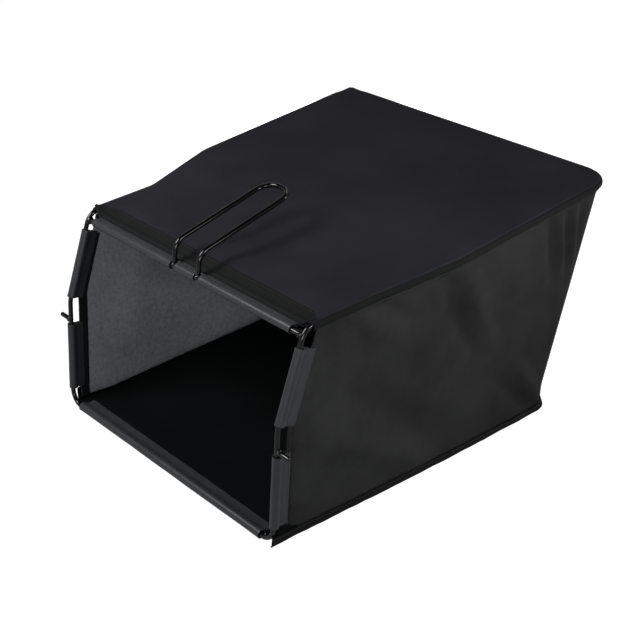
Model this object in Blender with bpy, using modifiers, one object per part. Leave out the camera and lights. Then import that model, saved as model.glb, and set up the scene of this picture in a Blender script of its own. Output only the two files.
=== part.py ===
"""Grass collection bag for a garden machine: a sewn fabric bag hung on a bent wire frame.

Metres, +Z up. The open mouth faces -Y and the bag runs back along +Y. The origin is at the
bottom centre of the whole object's box, on the floor.
"""

import math

import bpy
from mathutils import Vector

# Wire frame
WIRE_D = 0.006
MOUTH_WIDTH = 0.400
LOWER_CORNER_R = 0.018
MID_BEND_RISE = 0.1443
MID_BEND_SET = 0.0106
MID_BEND_R = 0.040
UPPER_LEAN = math.radians(20)
UPPER_BEND_R = 0.022
LOOP_RISE = 0.2526

# Top loop, each run measured from the end of the one before it
FRONT_RUN = 0.100
FRONT_FLARE = 0.003
FRONT_LIFT = 0.0035
JOG_RUN = 0.102
JOG_FLARE = 0.023
JOG_LIFT = 0.0155
REAR_RUN = 0.268
REAR_FLARE = 0.0035
REAR_LIFT = 0.0265
JOG_R = 0.070
REAR_CORNER_R = 0.032

# Cross bar, carrying handle and hanger pins
BAR_DROP = 0.0093
HANDLE_WIRE_D = 0.006
HANDLE_WIDTH = 0.0446
HANDLE_LEG_RISE = 0.030
HANDLE_LEG_SET = 0.003
HANDLE_SLOPE = math.radians(14)
HANDLE_LENGTH = 0.144
HANDLE_BEND_R = 0.018
HANDLE_END_R = 0.020
PIN_D = 0.006
PIN_OUT = 0.021
PIN_BELOW_BEND = 0.0273

# Cloth, tape and vinyl strip
FABRIC_T = 0.0012
TAPE_T = 0.0010
STRIP_T = 0.0012
TUNNEL_SLACK = 0.0013
EDGE_SETBACK = 0.012
HEM_WIDTH = 0.012
TOP_HEM_WIDTH = 0.019
FLANGE_REACH = 0.019
HEM_FLANGE_REACH = 0.016
TOP_PANEL_LIFT = 0.003
TOP_PANEL_SAG = 0.003
TOP_PANEL_INSET = 0.0315

# Where the sleeves stop, each from the bar, bend or loop that it stops at
LOWER_SLEEVE_ABOVE_BAR = 0.020
LOWER_SLEEVE_BELOW_BEND = 0.0333
UPPER_SLEEVE_ABOVE_BEND = 0.0037
UPPER_SLEEVE_BELOW_LOOP = 0.0216
TOP_SLEEVE_END_GAP = 0.018
BOTTOM_SLEEVE_END_GAP = 0.020
LEG_NOTCH_GAP = 0.0014
SHORT_STRIP_TURN = math.radians(215)

# Base
BASE_DEPTH = 0.452
BASE_FLARE = 0.012
BASE_CORNER_R = 0.022
BASE_SETTLE_RUN = 0.050
BINDING_FRONT = -0.003
BINDING_HIGH = 0.010
BINDING_LOW = 0.0045
BINDING_OUT = 0.0062
BINDING_END_LOW = 0.0007

# Clearances
GAP = 0.0003
BASE_SEAM_GAP = 0.0006
LOOP_SEAM_GAP = 0.0008

# Fineness of the meshes
WIRE_BEVEL = 3
TUNNEL_BEVEL = 3
SHARP_BEND_STEPS = 8
SOFT_BEND_STEPS = 4
SIDE_STATIONS = 9
REAR_STATIONS = 3
ACROSS = 8
TUNNEL_ARC_STEPS = 12
UPPER_BEND_NUMBER = 3

# Worked out from the above
WIRE_R = WIRE_D / 2
HALF = MOUTH_WIDTH / 2
TUNNEL_R = WIRE_R + TUNNEL_SLACK + STRIP_T
TUNNEL_SHIFT = TUNNEL_SLACK - GAP
AXIS_Z = TUNNEL_R
PIN_RISE = MID_BEND_RISE - PIN_BELOW_BEND
LOWER_SLEEVE_HIGH = MID_BEND_RISE - LOWER_SLEEVE_BELOW_BEND
UPPER_SLEEVE_LOW = MID_BEND_RISE + UPPER_SLEEVE_ABOVE_BEND
UPPER_SLEEVE_HIGH = LOOP_RISE - UPPER_SLEEVE_BELOW_LOOP
LOOP_SET = MID_BEND_SET + (LOOP_RISE - MID_BEND_RISE) * math.tan(UPPER_LEAN)
LOOP_REAR = LOOP_SET + FRONT_RUN + JOG_RUN + REAR_RUN
LOOP_REAR_Z = AXIS_Z + LOOP_RISE + FRONT_LIFT + JOG_LIFT + REAR_LIFT
UPPER_TANGENT = UPPER_BEND_R * math.tan((math.pi / 2 - UPPER_LEAN) / 2)
UPPER_BEND_END = LOOP_SET + UPPER_TANGENT
BAR_Z = AXIS_Z + LOOP_RISE - BAR_DROP
BAR_Y = UPPER_BEND_END - math.sqrt(UPPER_BEND_R**2 - (UPPER_BEND_R - BAR_DROP) ** 2)
FRONT_MOST = TUNNEL_SHIFT - TUNNEL_R
CENTRE_Y = (FRONT_MOST + LOOP_REAR + TUNNEL_R) / 2
PLAIN_OFFSET = FABRIC_T / 2 + GAP + STRIP_T / 2
TAPE_OFFSET = FABRIC_T / 2 + GAP + TAPE_T / 2
HEM_OFFSET = TAPE_OFFSET + TAPE_T / 2 + GAP + STRIP_T / 2
TOP_FRONT_HALF = HALF - TUNNEL_R - 2 * GAP
PLANE_STRETCH = EDGE_SETBACK + HEM_WIDTH + GAP

FINISHES = {
    "black_paint": ((0.012, 0.012, 0.013), 0.18, 0.0),
    "sleeve_vinyl": ((0.055, 0.058, 0.062), 0.42, 0.0),
    "top_fabric": ((0.026, 0.025, 0.031), 0.75, 0.0),
    "side_fabric": ((0.027, 0.027, 0.028), 0.85, 0.0),
    "hem_tape": ((0.015, 0.016, 0.015), 0.9, 0.0),
}


def spot(x, y, z):
    """A point given from the mouth's bottom bar, moved to the object's own origin."""
    return Vector((x, y - CENTRE_Y, z))


def material(name):
    """The named finish as a Principled material, made once."""
    found = bpy.data.materials.get(name)
    if found:
        return found
    colour, roughness, metallic = FINISHES[name]
    made = bpy.data.materials.new(name)
    made.use_nodes = True
    shader = made.node_tree.nodes["Principled BSDF"]
    shader.inputs["Base Color"].default_value = (*colour, 1.0)
    shader.inputs["Roughness"].default_value = roughness
    shader.inputs["Metallic"].default_value = metallic
    return made


def filleted(corners, closed):
    """A path through corners given as (point, radius, steps), each turned on its own arc."""
    count = len(corners)
    path = []
    for i, (point, radius, steps) in enumerate(corners):
        is_end = not closed and i in (0, count - 1)
        if is_end or radius == 0:
            path.append(point.copy())
            continue
        back = (corners[i - 1][0] - point).normalized()
        ahead = (corners[(i + 1) % count][0] - point).normalized()
        between = back.angle(ahead)
        tangent = radius / math.tan(between / 2)
        centre = point + (back + ahead).normalized() * (radius / math.sin(between / 2))
        start = point + back * tangent - centre
        finish = point + ahead * tangent - centre
        turn = start.angle(finish)
        for step in range(steps + 1):
            share = step / steps
            first = math.sin((1 - share) * turn) / math.sin(turn)
            second = math.sin(share * turn) / math.sin(turn)
            path.append(centre + start * first + finish * second)
    return path


def curve_object(name, path, radius, bevel, collection, closed=False, capped=True):
    """A round wire or tube along the path."""
    data = bpy.data.curves.new(name, "CURVE")
    data.dimensions = "3D"
    data.twist_mode = "MINIMUM"
    spline = data.splines.new("POLY")
    spline.points.add(len(path) - 1)
    for point, place in zip(spline.points, path):
        point.co = (*place, 1.0)
    spline.use_cyclic_u = closed
    spline.use_smooth = True
    data.bevel_depth = radius
    data.bevel_resolution = bevel
    data.use_fill_caps = capped
    made = bpy.data.objects.new(name, data)
    collection.objects.link(made)
    return made


def wire(name, path, diameter, collection, closed=False):
    """A painted steel wire."""
    made = curve_object(name, path, diameter / 2, WIRE_BEVEL, collection, closed)
    made.data.materials.append(material("black_paint"))
    return made


def solidify(made, thickness, offset):
    """Gives an open surface its wall."""
    wall = made.modifiers.new("wall", "SOLIDIFY")
    wall.thickness = thickness
    wall.offset = offset
    wall.use_even_offset = True


def sheet(name, rows, thickness, finish, collection):
    """A sheet lofted through rows of points, its thickness shared to both sides."""
    across = len(rows[0])
    points = [point for row in rows for point in row]
    faces = []
    for i in range(len(rows) - 1):
        for j in range(across - 1):
            near = i * across + j
            far = near + across
            faces.append((near, near + 1, far + 1, far))
    mesh = bpy.data.meshes.new(name)
    mesh.from_pydata(points, [], faces)
    mesh.validate()
    mesh.materials.append(material(finish))
    mesh.shade_smooth()
    made = bpy.data.objects.new(name, mesh)
    collection.objects.link(made)
    solidify(made, thickness, 0.0)
    return made


def upright_y(rise):
    """How far back the upright's centre line is at a height above the bottom bar."""
    if rise <= MID_BEND_RISE:
        return MID_BEND_SET * rise / MID_BEND_RISE
    return MID_BEND_SET + (rise - MID_BEND_RISE) * math.tan(UPPER_LEAN)


def hoop_corners(side):
    """The right or left half of the hoop's corners, from the bottom bar to the rear."""
    shoulder = HALF + FRONT_FLARE
    wide = shoulder + JOG_FLARE
    jog_y = LOOP_SET + FRONT_RUN
    loop_z = AXIS_Z + LOOP_RISE
    jog_z = loop_z + FRONT_LIFT
    return [
        (spot(side * HALF, 0, AXIS_Z), LOWER_CORNER_R, SHARP_BEND_STEPS),
        (spot(side * HALF, MID_BEND_SET, AXIS_Z + MID_BEND_RISE), MID_BEND_R, SOFT_BEND_STEPS),
        (spot(side * HALF, LOOP_SET, loop_z), UPPER_BEND_R, SHARP_BEND_STEPS),
        (spot(side * shoulder, jog_y, jog_z), JOG_R, SOFT_BEND_STEPS),
        (spot(side * wide, jog_y + JOG_RUN, jog_z + JOG_LIFT), JOG_R, SOFT_BEND_STEPS),
        (spot(side * (wide + REAR_FLARE), LOOP_REAR, LOOP_REAR_Z), REAR_CORNER_R, SHARP_BEND_STEPS),
    ]


def hoop_path():
    """The whole closed centre line of the hoop."""
    return filleted(hoop_corners(1) + hoop_corners(-1)[::-1], closed=True)


def loop_half():
    """The top loop's centre line on the right, from the end of the upper bend to the rear corner."""
    counts = [steps + 1 for _, _, steps in hoop_corners(1)]
    return hoop_path()[sum(counts[:UPPER_BEND_NUMBER]) - 1 : sum(counts)]


def loop_at(y):
    """The loop's half width and height at a depth, between the upper bend and the rear corner."""
    path = loop_half()
    for low, high in zip(path, path[1:]):
        if low.y <= y <= high.y:
            share = (y - low.y) / (high.y - low.y)
            return low.x + (high.x - low.x) * share, low.z + (high.z - low.z) * share
    ends = path[0] if y < path[0].y else path[-1]
    return ends.x, ends.z


def base_half_width(y):
    """The base's half width at a depth: straight behind the mouth, then flaring a little."""
    start = PLANE_STRETCH
    share = min(max((y - start) / (BASE_DEPTH - start), 0.0), 1.0)
    return HALF + BASE_FLARE * (1 - (1 - share) ** 2)


def base_z(y):
    """The base cloth's middle height: at the bottom bar's axis in front, then on the floor."""
    share = min(max((y - FLANGE_REACH) / BASE_SETTLE_RUN, 0.0), 1.0)
    ease = share * share * (3 - 2 * share)
    return AXIS_Z + (FABRIC_T / 2 - AXIS_Z) * ease


def sleeve_profile(plain_reach, hem_reach, hem_offset, last_turn):
    """A strip folded round the wire, as (u, v): u to its hem side, v back to the cloth's edge."""
    radius = TUNNEL_R - STRIP_T / 2
    hem_turn = math.asin(hem_offset / radius)
    plain_turn = math.asin(PLAIN_OFFSET / radius)
    end_turn = 2 * math.pi - plain_turn if last_turn is None else last_turn
    points = [(hem_offset, hem_reach)]
    for step in range(TUNNEL_ARC_STEPS + 1):
        turn = hem_turn + (end_turn - hem_turn) * step / TUNNEL_ARC_STEPS
        points.append((radius * math.sin(turn), TUNNEL_SHIFT + radius * math.cos(turn)))
    if last_turn is None:
        points.append((-PLAIN_OFFSET, plain_reach))
    return points


def sleeve(name, start, finish, hem_side, back, profile, collection):
    """A straight vinyl sleeve from start to finish; hem_side and back are its u and v."""
    rows = []
    for end in (start, finish):
        rows.append([end + hem_side * u + back * v for u, v in profile])
    return sheet(name, rows, STRIP_T, "sleeve_vinyl", collection)


def upright_sleeves(side, word, collection):
    """The lower and upper sleeves of one upright, hem side inwards."""
    profile = sleeve_profile(FLANGE_REACH, HEM_FLANGE_REACH, HEM_OFFSET, None)
    inward = Vector((-side, 0, 0))
    spans = {
        "lower_sleeve_": (LOWER_SLEEVE_ABOVE_BAR, LOWER_SLEEVE_HIGH),
        "upper_sleeve_": (UPPER_SLEEVE_LOW, UPPER_SLEEVE_HIGH),
    }
    for name, (low, high) in spans.items():
        start = spot(side * HALF, upright_y(low), AXIS_Z + low)
        finish = spot(side * HALF, upright_y(high), AXIS_Z + high)
        along = (finish - start).normalized()
        back = Vector((0, along.z, -along.y))
        sleeve(name + word, start, finish, inward, back, profile, collection)


def top_hem_back():
    """The direction from the cross bar up to the top panel, and its break point's depth."""
    break_y = BAR_Y + TOP_PANEL_INSET
    _, wire_z = loop_at(spot(0, break_y, 0).y)
    rise = wire_z + TOP_PANEL_LIFT - BAR_Z
    return Vector((0, TOP_PANEL_INSET, rise)).normalized()


def top_sleeves(collection):
    """The three sleeves of the cross bar, parted at the handle's legs."""
    back = top_hem_back()
    up = Vector((0, -back.z, back.y))
    whole = sleeve_profile(FLANGE_REACH, HEM_FLANGE_REACH, HEM_OFFSET, None)
    short = sleeve_profile(FLANGE_REACH, HEM_FLANGE_REACH, HEM_OFFSET, SHORT_STRIP_TURN)
    notch = HANDLE_WIRE_D / 2 + LEG_NOTCH_GAP
    leg = HANDLE_WIDTH / 2
    end = HALF - TOP_SLEEVE_END_GAP
    spans = {
        "top_sleeve_left": (-end, -leg - notch, whole),
        "top_sleeve_middle": (-leg + notch, leg - notch, short),
        "top_sleeve_right": (leg + notch, end, whole),
    }
    for name, (low, high, profile) in spans.items():
        sleeve(name, spot(low, BAR_Y, BAR_Z), spot(high, BAR_Y, BAR_Z), up, back, profile, collection)


def bottom_sleeve(collection):
    """The sleeve round the bottom bar, with no hem between its layers."""
    end = HALF - BOTTOM_SLEEVE_END_GAP
    profile = sleeve_profile(FLANGE_REACH, FLANGE_REACH, PLAIN_OFFSET, None)
    ends = [spot(x, 0, AXIS_Z) for x in (-end, end)]
    sleeve("bottom_sleeve", *ends, Vector((0, 0, 1)), Vector((0, 1, 0)), profile, collection)


def loop_sleeve(collection):
    """The edge band's tunnel round the top loop, hung so that the wire lies in its top."""
    half = loop_half()
    mirrored = [Vector((-point.x, point.y, point.z)) for point in half[::-1]]
    drop = Vector((0, 0, TUNNEL_SHIFT))
    path = [point - drop for point in half + mirrored]
    tube = curve_object("loop_tube", path, TUNNEL_R, TUNNEL_BEVEL, collection, capped=False)
    bpy.context.view_layer.update()
    graph = bpy.context.evaluated_depsgraph_get()
    mesh = bpy.data.meshes.new_from_object(tube.evaluated_get(graph))
    bpy.data.objects.remove(tube, do_unlink=True)
    mesh.materials.clear()
    mesh.materials.append(material("hem_tape"))
    made = bpy.data.objects.new("loop_sleeve", mesh)
    collection.objects.link(made)
    solidify(made, STRIP_T, -1.0)


def front_edge(rise, setback):
    """A point on the side cloth's front edge, setback behind the upright."""
    lean = UPPER_LEAN if rise > MID_BEND_RISE else math.atan2(MID_BEND_SET, MID_BEND_RISE)
    if rise == MID_BEND_RISE:
        lean = (UPPER_LEAN + math.atan2(MID_BEND_SET, MID_BEND_RISE)) / 2
    y = upright_y(rise) + setback * math.cos(lean)
    return y, AXIS_Z + rise - setback * math.sin(lean)


def wall_top_drop():
    """How far the wall's top edge lies below the loop's centre line."""
    return TUNNEL_SHIFT + TUNNEL_R + LOOP_SEAM_GAP


def wall_bottom(y):
    """The height of the wall's bottom edge, just above the base cloth."""
    return base_z(y) + FABRIC_T / 2 + BASE_SEAM_GAP


def wall_stations():
    """(top, bottom) pairs along the right wall, from behind the hem to the middle of the rear."""
    half = loop_half()
    corner = half[-SHARP_BEND_STEPS - 1 :]
    drop = Vector((0, 0, wall_top_drop()))
    bottom_start = PLANE_STRETCH
    top_start = spot(0, upright_y(LOOP_RISE) + PLANE_STRETCH, 0).y
    bottom_end = BASE_DEPTH - BASE_CORNER_R
    found = []
    for i in range(SIDE_STATIONS):
        share = i / SIDE_STATIONS
        top_y = top_start + (corner[0].y - top_start) * share
        low_y = bottom_start + (bottom_end - bottom_start) * share
        width, height = loop_at(top_y)
        top = Vector((width, top_y, height)) - drop
        found.append((top, spot(base_half_width(low_y), low_y, wall_bottom(low_y))))
    wide = base_half_width(BASE_DEPTH)
    for j, point in enumerate(corner):
        turn = math.pi / 2 * j / SHARP_BEND_STEPS
        x = wide - BASE_CORNER_R * (1 - math.cos(turn))
        y = bottom_end + BASE_CORNER_R * math.sin(turn)
        found.append((point - drop, spot(x, y, wall_bottom(y))))
    for i in range(1, REAR_STATIONS + 1):
        share = 1 - i / REAR_STATIONS
        top = Vector((corner[-1].x * share, corner[-1].y, corner[-1].z)) - drop
        bottom = found[SIDE_STATIONS + SHARP_BEND_STEPS][1]
        found.append((top, Vector((bottom.x * share, bottom.y, bottom.z))))
    return found


def mid_share():
    """Where up the wall the upright's bend lies."""
    low = wall_bottom(EDGE_SETBACK)
    _, high = front_edge(LOOP_RISE, 0)
    top = high - wall_top_drop()
    return (AXIS_Z + MID_BEND_RISE - low) / (top - low)


def wall_rises():
    """The heights of the wall's rows, as shares of its height."""
    mid = mid_share()
    return [0.0, mid / 2, mid, (1 + mid) / 2, 1.0]


def flat_column(setback):
    """A column of the side panel that lies in the upright's plane, low to high."""
    top = AXIS_Z + LOOP_RISE - wall_top_drop()
    low = wall_bottom(setback)
    column = []
    for share in wall_rises():
        rise = low + (top - low) * share - AXIS_Z
        if share == mid_share():
            rise = MID_BEND_RISE
        y, _ = front_edge(rise, setback)
        column.append(spot(HALF, y, AXIS_Z + rise))
    return column


def nudged(column, neighbour, distance):
    """The column moved towards its neighbour, to leave a seam's gap."""
    return [a + (b - a).normalized() * distance for a, b in zip(column, neighbour)]


def side_panel(side, word, collection):
    """One side's cloth, from the mouth's edge to the middle of the rear corner."""
    stations = wall_stations()[: SIDE_STATIONS + SHARP_BEND_STEPS // 2 + 1]
    columns = [flat_column(EDGE_SETBACK), flat_column(PLANE_STRETCH)]
    straight = [[low.lerp(top, share) for share in wall_rises()] for top, low in stations]
    bent = [a - b for a, b in zip(columns[1], straight[0])]
    last = len(straight) - 1
    for i in range(1, last + 1):
        keep = (1 - i / last) ** 2
        columns.append([point + lean * keep for point, lean in zip(straight[i], bent)])
    columns[-1] = nudged(columns[-1], columns[-2], GAP / 2)
    if side < 0:
        columns = [[Vector((-p.x, p.y, p.z)) for p in column] for column in columns]
    sheet("side_panel_" + word, columns, FABRIC_T, "side_fabric", collection)


def rear_panel(collection):
    """The rear cloth, between the middles of the two rear corners."""
    stations = wall_stations()[SIDE_STATIONS + SHARP_BEND_STEPS // 2 :]
    columns = [[low.lerp(top, share) for share in wall_rises()] for top, low in stations]
    columns[0] = nudged(columns[0], columns[1], GAP / 2)
    mirrored = [[Vector((-p.x, p.y, p.z)) for p in column] for column in columns[-2::-1]]
    sheet("rear_panel", columns + mirrored, FABRIC_T, "side_fabric", collection)


def mouth_hem(side, word, collection):
    """The tape inside the side panel's front edge."""
    x = side * (HALF - TAPE_OFFSET)
    low = wall_bottom(EDGE_SETBACK) - AXIS_Z
    high = UPPER_SLEEVE_HIGH
    rows = []
    for rise in (low, MID_BEND_RISE / 2, MID_BEND_RISE, high):
        row = []
        for setback in (EDGE_SETBACK, EDGE_SETBACK + HEM_WIDTH):
            y, _ = front_edge(rise, setback)
            row.append(spot(x, y, AXIS_Z + rise))
        rows.append(row)
    sheet("mouth_hem_" + word, rows, TAPE_T, "hem_tape", collection)


def top_front_hem(collection):
    """The tape on the front edge of the top panel."""
    back = top_hem_back()
    up = Vector((0, -back.z, back.y))
    rows = []
    for reach in (EDGE_SETBACK, EDGE_SETBACK + TOP_HEM_WIDTH):
        middle = spot(0, BAR_Y, BAR_Z) + back * reach + up * TAPE_OFFSET
        rows.append([middle + Vector((x, 0, 0)) for x in (-TOP_FRONT_HALF, TOP_FRONT_HALF)])
    sheet("top_front_hem", rows, TAPE_T, "hem_tape", collection)


def top_row(y, half, edge_z):
    """A row of the top panel, level at its edges and sagging between them."""
    row = []
    for i in range(ACROSS + 1):
        share = 2 * i / ACROSS - 1
        row.append(Vector((half * share, y, edge_z - TOP_PANEL_SAG * (1 - share * share))))
    return row


def top_panel(collection):
    """The top cloth: it rises from the cross bar, then lies between the loop's wires."""
    back = top_hem_back()
    break_point = spot(0, BAR_Y + TOP_PANEL_INSET, 0)
    shares = [2 * i / ACROSS - 1 for i in range(ACROSS + 1)]
    rows = []
    for reach in (EDGE_SETBACK, EDGE_SETBACK + TOP_HEM_WIDTH + GAP):
        centre = spot(0, BAR_Y, BAR_Z) + back * reach
        rows.append([Vector((TOP_FRONT_HALF * share, centre.y, centre.z)) for share in shares])
    half = loop_half()
    corner = half[-SHARP_BEND_STEPS - 1 :]
    inner_r = REAR_CORNER_R - TUNNEL_R
    start = max(break_point.y, rows[1][0].y + TUNNEL_R)
    for i in range(SIDE_STATIONS):
        y = start + (corner[0].y - start) * i / SIDE_STATIONS
        width, height = loop_at(y)
        rows.append(top_row(y, width - TUNNEL_R, height + TOP_PANEL_LIFT))
    for j, point in enumerate(corner):
        turn = math.pi / 2 * j / SHARP_BEND_STEPS
        half_width = corner[0].x - TUNNEL_R - inner_r * (1 - math.cos(turn))
        y = corner[0].y + inner_r * math.sin(turn)
        rows.append(top_row(y, half_width, point.z + TOP_PANEL_LIFT))
    sheet("top_panel", rows, FABRIC_T, "top_fabric", collection)


def base_panel(collection):
    """The base cloth, from the bottom sleeve's layers back to the rear corners."""
    rows = []
    settle = [BASE_SETTLE_RUN * i / SOFT_BEND_STEPS for i in range(SOFT_BEND_STEPS + 1)]
    depths = [EDGE_SETBACK] + [FLANGE_REACH + run for run in settle]
    start = depths[-1]
    end = BASE_DEPTH - BASE_CORNER_R
    depths += [start + (end - start) * i / SOFT_BEND_STEPS for i in range(1, SOFT_BEND_STEPS)]
    shares = [2 * i / ACROSS - 1 for i in range(ACROSS + 1)]
    for y in depths:
        half = base_half_width(y) + FABRIC_T / 2
        rows.append([spot(half * share, y, base_z(y)) for share in shares])
    wide = base_half_width(BASE_DEPTH)
    for j in range(SHARP_BEND_STEPS + 1):
        turn = math.pi / 2 * j / SHARP_BEND_STEPS
        half = wide - BASE_CORNER_R + (BASE_CORNER_R + FABRIC_T / 2) * math.cos(turn)
        y = end + (BASE_CORNER_R + FABRIC_T / 2) * math.sin(turn)
        rows.append([spot(half * share, y, base_z(y)) for share in shares])
    sheet("base_panel", rows, FABRIC_T, "side_fabric", collection)


def base_binding(collection):
    """The taped seam allowance round the base, upright in front and splayed at the rear."""
    loop_z = AXIS_Z + LOOP_RISE
    stations = [(spot(HALF, y, loop_z), spot(HALF, y, AXIS_Z)) for y in (BINDING_FRONT, EDGE_SETBACK)]
    stations += wall_stations()
    lows = [low for _, low in stations]
    reach = lows[-1].y - lows[0].y
    rows = []
    for i, (top, low) in enumerate(stations):
        run = lows[min(i + 1, len(lows) - 1)] - lows[max(i - 1, 0)]
        outward = Vector((run.y, -run.x, 0)).normalized()
        share = (low.y - lows[0].y) / reach
        high = BINDING_HIGH + (BINDING_LOW - BINDING_HIGH) * share
        upper = low.lerp(top, (high - low.z) / (top.z - low.z)) + outward * TAPE_OFFSET
        lower = low + outward * (TAPE_OFFSET + BINDING_OUT * share)
        lower.z = BINDING_END_LOW
        rows.append([upper, lower])
    mirrored = [[Vector((-p.x, p.y, p.z)) for p in row] for row in rows[-2::-1]]
    sheet("base_binding", rows + mirrored, TAPE_T, "hem_tape", collection)


def handle_path():
    """The handle's centre line: a leg, a bend back, the round end, and the same again."""
    half = HANDLE_WIDTH / 2
    foot_z = BAR_Z + WIRE_R + GAP
    bend_y = BAR_Y + HANDLE_LEG_SET
    bend_z = BAR_Z + HANDLE_LEG_RISE
    tip_y = bend_y + HANDLE_LENGTH * math.cos(HANDLE_SLOPE)
    tip_z = bend_z + HANDLE_LENGTH * math.sin(HANDLE_SLOPE)
    right = [
        (spot(half, BAR_Y, foot_z), 0, 0),
        (spot(half, bend_y, bend_z), HANDLE_BEND_R, SHARP_BEND_STEPS),
        (spot(half, tip_y, tip_z), HANDLE_END_R, SHARP_BEND_STEPS),
    ]
    left = [(Vector((-p.x, p.y, p.z)), radius, steps) for p, radius, steps in right[::-1]]
    return filleted(right + left, closed=False)


def wire_parts(collection):
    """The hoop and all that is welded to it."""
    wire("frame_hoop", hoop_path(), WIRE_D, collection, closed=True)
    bar_end = HALF - WIRE_R - GAP
    wire("mouth_cross_bar", [spot(x, BAR_Y, BAR_Z) for x in (-bar_end, bar_end)], WIRE_D, collection)
    wire("carry_handle", handle_path(), HANDLE_WIRE_D, collection)
    for side, word in ((1, "right"), (-1, "left")):
        y = upright_y(PIN_RISE)
        root = spot(side * (HALF + WIRE_R + GAP), y, AXIS_Z + PIN_RISE)
        tip = spot(side * (HALF + PIN_OUT), y, AXIS_Z + PIN_RISE)
        wire("hanger_pin_" + word, [root, tip], PIN_D, collection)


def main():
    """Clears the scene and builds every piece."""
    for old in list(bpy.data.objects):
        bpy.data.objects.remove(old, do_unlink=True)
    collection = bpy.data.collections.new("grass_collection_bag")
    bpy.context.scene.collection.children.link(collection)
    wire_parts(collection)
    loop_sleeve(collection)
    top_sleeves(collection)
    bottom_sleeve(collection)
    for side, word in ((1, "right"), (-1, "left")):
        upright_sleeves(side, word, collection)
        side_panel(side, word, collection)
        mouth_hem(side, word, collection)
    rear_panel(collection)
    base_panel(collection)
    base_binding(collection)
    top_panel(collection)
    top_front_hem(collection)


if __name__ == "__main__":
    main()
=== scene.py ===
"""Looks of a grass collection bag for a garden machine: sewn cloth on a bent wire frame.

Metres, +Z up, in the frame's own axes: the open mouth faces -Y and the bag runs back along +Y.
"""

import bisect
import logging
import math
from dataclasses import dataclass, field
from enum import Enum
from typing import Callable, Iterable, Sequence

import bmesh
import bpy
from mathutils import Matrix, Vector, noise


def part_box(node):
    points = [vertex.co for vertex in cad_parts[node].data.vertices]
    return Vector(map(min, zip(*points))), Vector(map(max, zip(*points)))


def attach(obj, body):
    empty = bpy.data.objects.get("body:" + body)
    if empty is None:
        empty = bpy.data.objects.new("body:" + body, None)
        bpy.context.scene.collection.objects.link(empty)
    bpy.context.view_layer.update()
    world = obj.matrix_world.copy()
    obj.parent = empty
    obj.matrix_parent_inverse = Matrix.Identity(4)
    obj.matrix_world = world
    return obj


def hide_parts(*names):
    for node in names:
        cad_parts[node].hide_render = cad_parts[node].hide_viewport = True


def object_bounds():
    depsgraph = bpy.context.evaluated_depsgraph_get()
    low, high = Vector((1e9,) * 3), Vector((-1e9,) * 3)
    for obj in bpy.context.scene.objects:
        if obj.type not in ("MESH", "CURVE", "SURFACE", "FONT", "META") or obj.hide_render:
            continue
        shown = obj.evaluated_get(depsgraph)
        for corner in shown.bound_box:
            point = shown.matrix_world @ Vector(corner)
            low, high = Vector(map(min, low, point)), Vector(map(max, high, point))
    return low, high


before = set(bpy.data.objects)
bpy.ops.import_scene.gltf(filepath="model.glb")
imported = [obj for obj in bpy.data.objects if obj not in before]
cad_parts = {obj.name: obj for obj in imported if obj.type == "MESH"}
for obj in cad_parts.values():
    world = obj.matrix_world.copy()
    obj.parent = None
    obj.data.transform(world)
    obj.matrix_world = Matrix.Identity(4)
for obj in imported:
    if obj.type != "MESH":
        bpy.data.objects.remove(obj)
cad_low, cad_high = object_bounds()

log = logging.getLogger("grass_bag")

Place = Callable[[float, float], Vector]

BODY = "root"
UP = Vector((0, 0, 1))
RIGHT = 1
LEFT = -1
SIDES = {"right": RIGHT, "left": LEFT}

CLOSE = 1e-4
CLEARANCE = 0.0003
DIRECTION_REACH = 0.004
SHARP = math.radians(50)
WELD_LUMPS = ((0.13, 0.55), (0.05, 0.2))
TACK_STITCHES = (
    ((-0.0032, -0.0030), (0.0032, 0.0045)),
    ((-0.0030, 0.0040), (0.0034, -0.0026)),
    ((-0.0036, 0.0006), (0.0030, 0.0012)),
)

CAMERA_PLACE = Vector((1.066087, -0.97773, 0.89315))
CAMERA_TURN = (math.radians(61.5733), 0.0, math.radians(47.7026))
CAMERA_LENS = 71.974


# Small mathematics


def smooth(value: float, low: float, high: float) -> float:
    """0 below low, 1 above high, and an even S between them."""
    share = min(max((value - low) / (high - low), 0.0), 1.0)
    return share * share * (3 - 2 * share)


def mix(low: float, high: float, share: float) -> float:
    """The value that share of the way from low to high."""
    return low + (high - low) * share


def wave(place: Vector, size: float, seed: float) -> float:
    """Soft noise from -1 to 1 whose swells are about size across."""
    return noise.noise(place / size + Vector((seed, seed * 0.7, -seed)))


def mirrored(points: Iterable[Vector]) -> list[Vector]:
    """The points on the other side of the bag, in the opposite order."""
    return [Vector((-p.x, p.y, p.z)) for p in reversed(list(points))]


# The frame's lines


@dataclass(frozen=True)
class Corner:
    """A point where a wire turns, with the radius of its bend."""

    point: Vector
    radius: float


def bent(corners: Sequence[Corner], closed: bool, step: float = math.radians(6)) -> list[Vector]:
    """The centre line of a wire bent at its corners.

    Args:
        corners: The corners in order.
        closed: Whether the last corner leads back to the first.
        step: The turn between two points of a bend.

    Returns:
        Points along the wire, close together in its bends.
    """
    count = len(corners)
    path = []
    for i, corner in enumerate(corners):
        is_end = not closed and i in (0, count - 1)
        if is_end or corner.radius == 0:
            path.append(corner.point.copy())
            continue
        back = (corners[i - 1].point - corner.point).normalized()
        ahead = (corners[(i + 1) % count].point - corner.point).normalized()
        between = back.angle(ahead)
        tangent = corner.radius / math.tan(between / 2)
        centre = corner.point + (back + ahead).normalized() * (corner.radius / math.sin(between / 2))
        start = corner.point + back * tangent - centre
        finish = corner.point + ahead * tangent - centre
        turn = start.angle(finish)
        steps = max(3, math.ceil(turn / step))
        for j in range(steps + 1):
            first = math.sin((1 - j / steps) * turn) / math.sin(turn)
            second = math.sin(j / steps * turn) / math.sin(turn)
            path.append(centre + start * first + finish * second)
    return path


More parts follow.
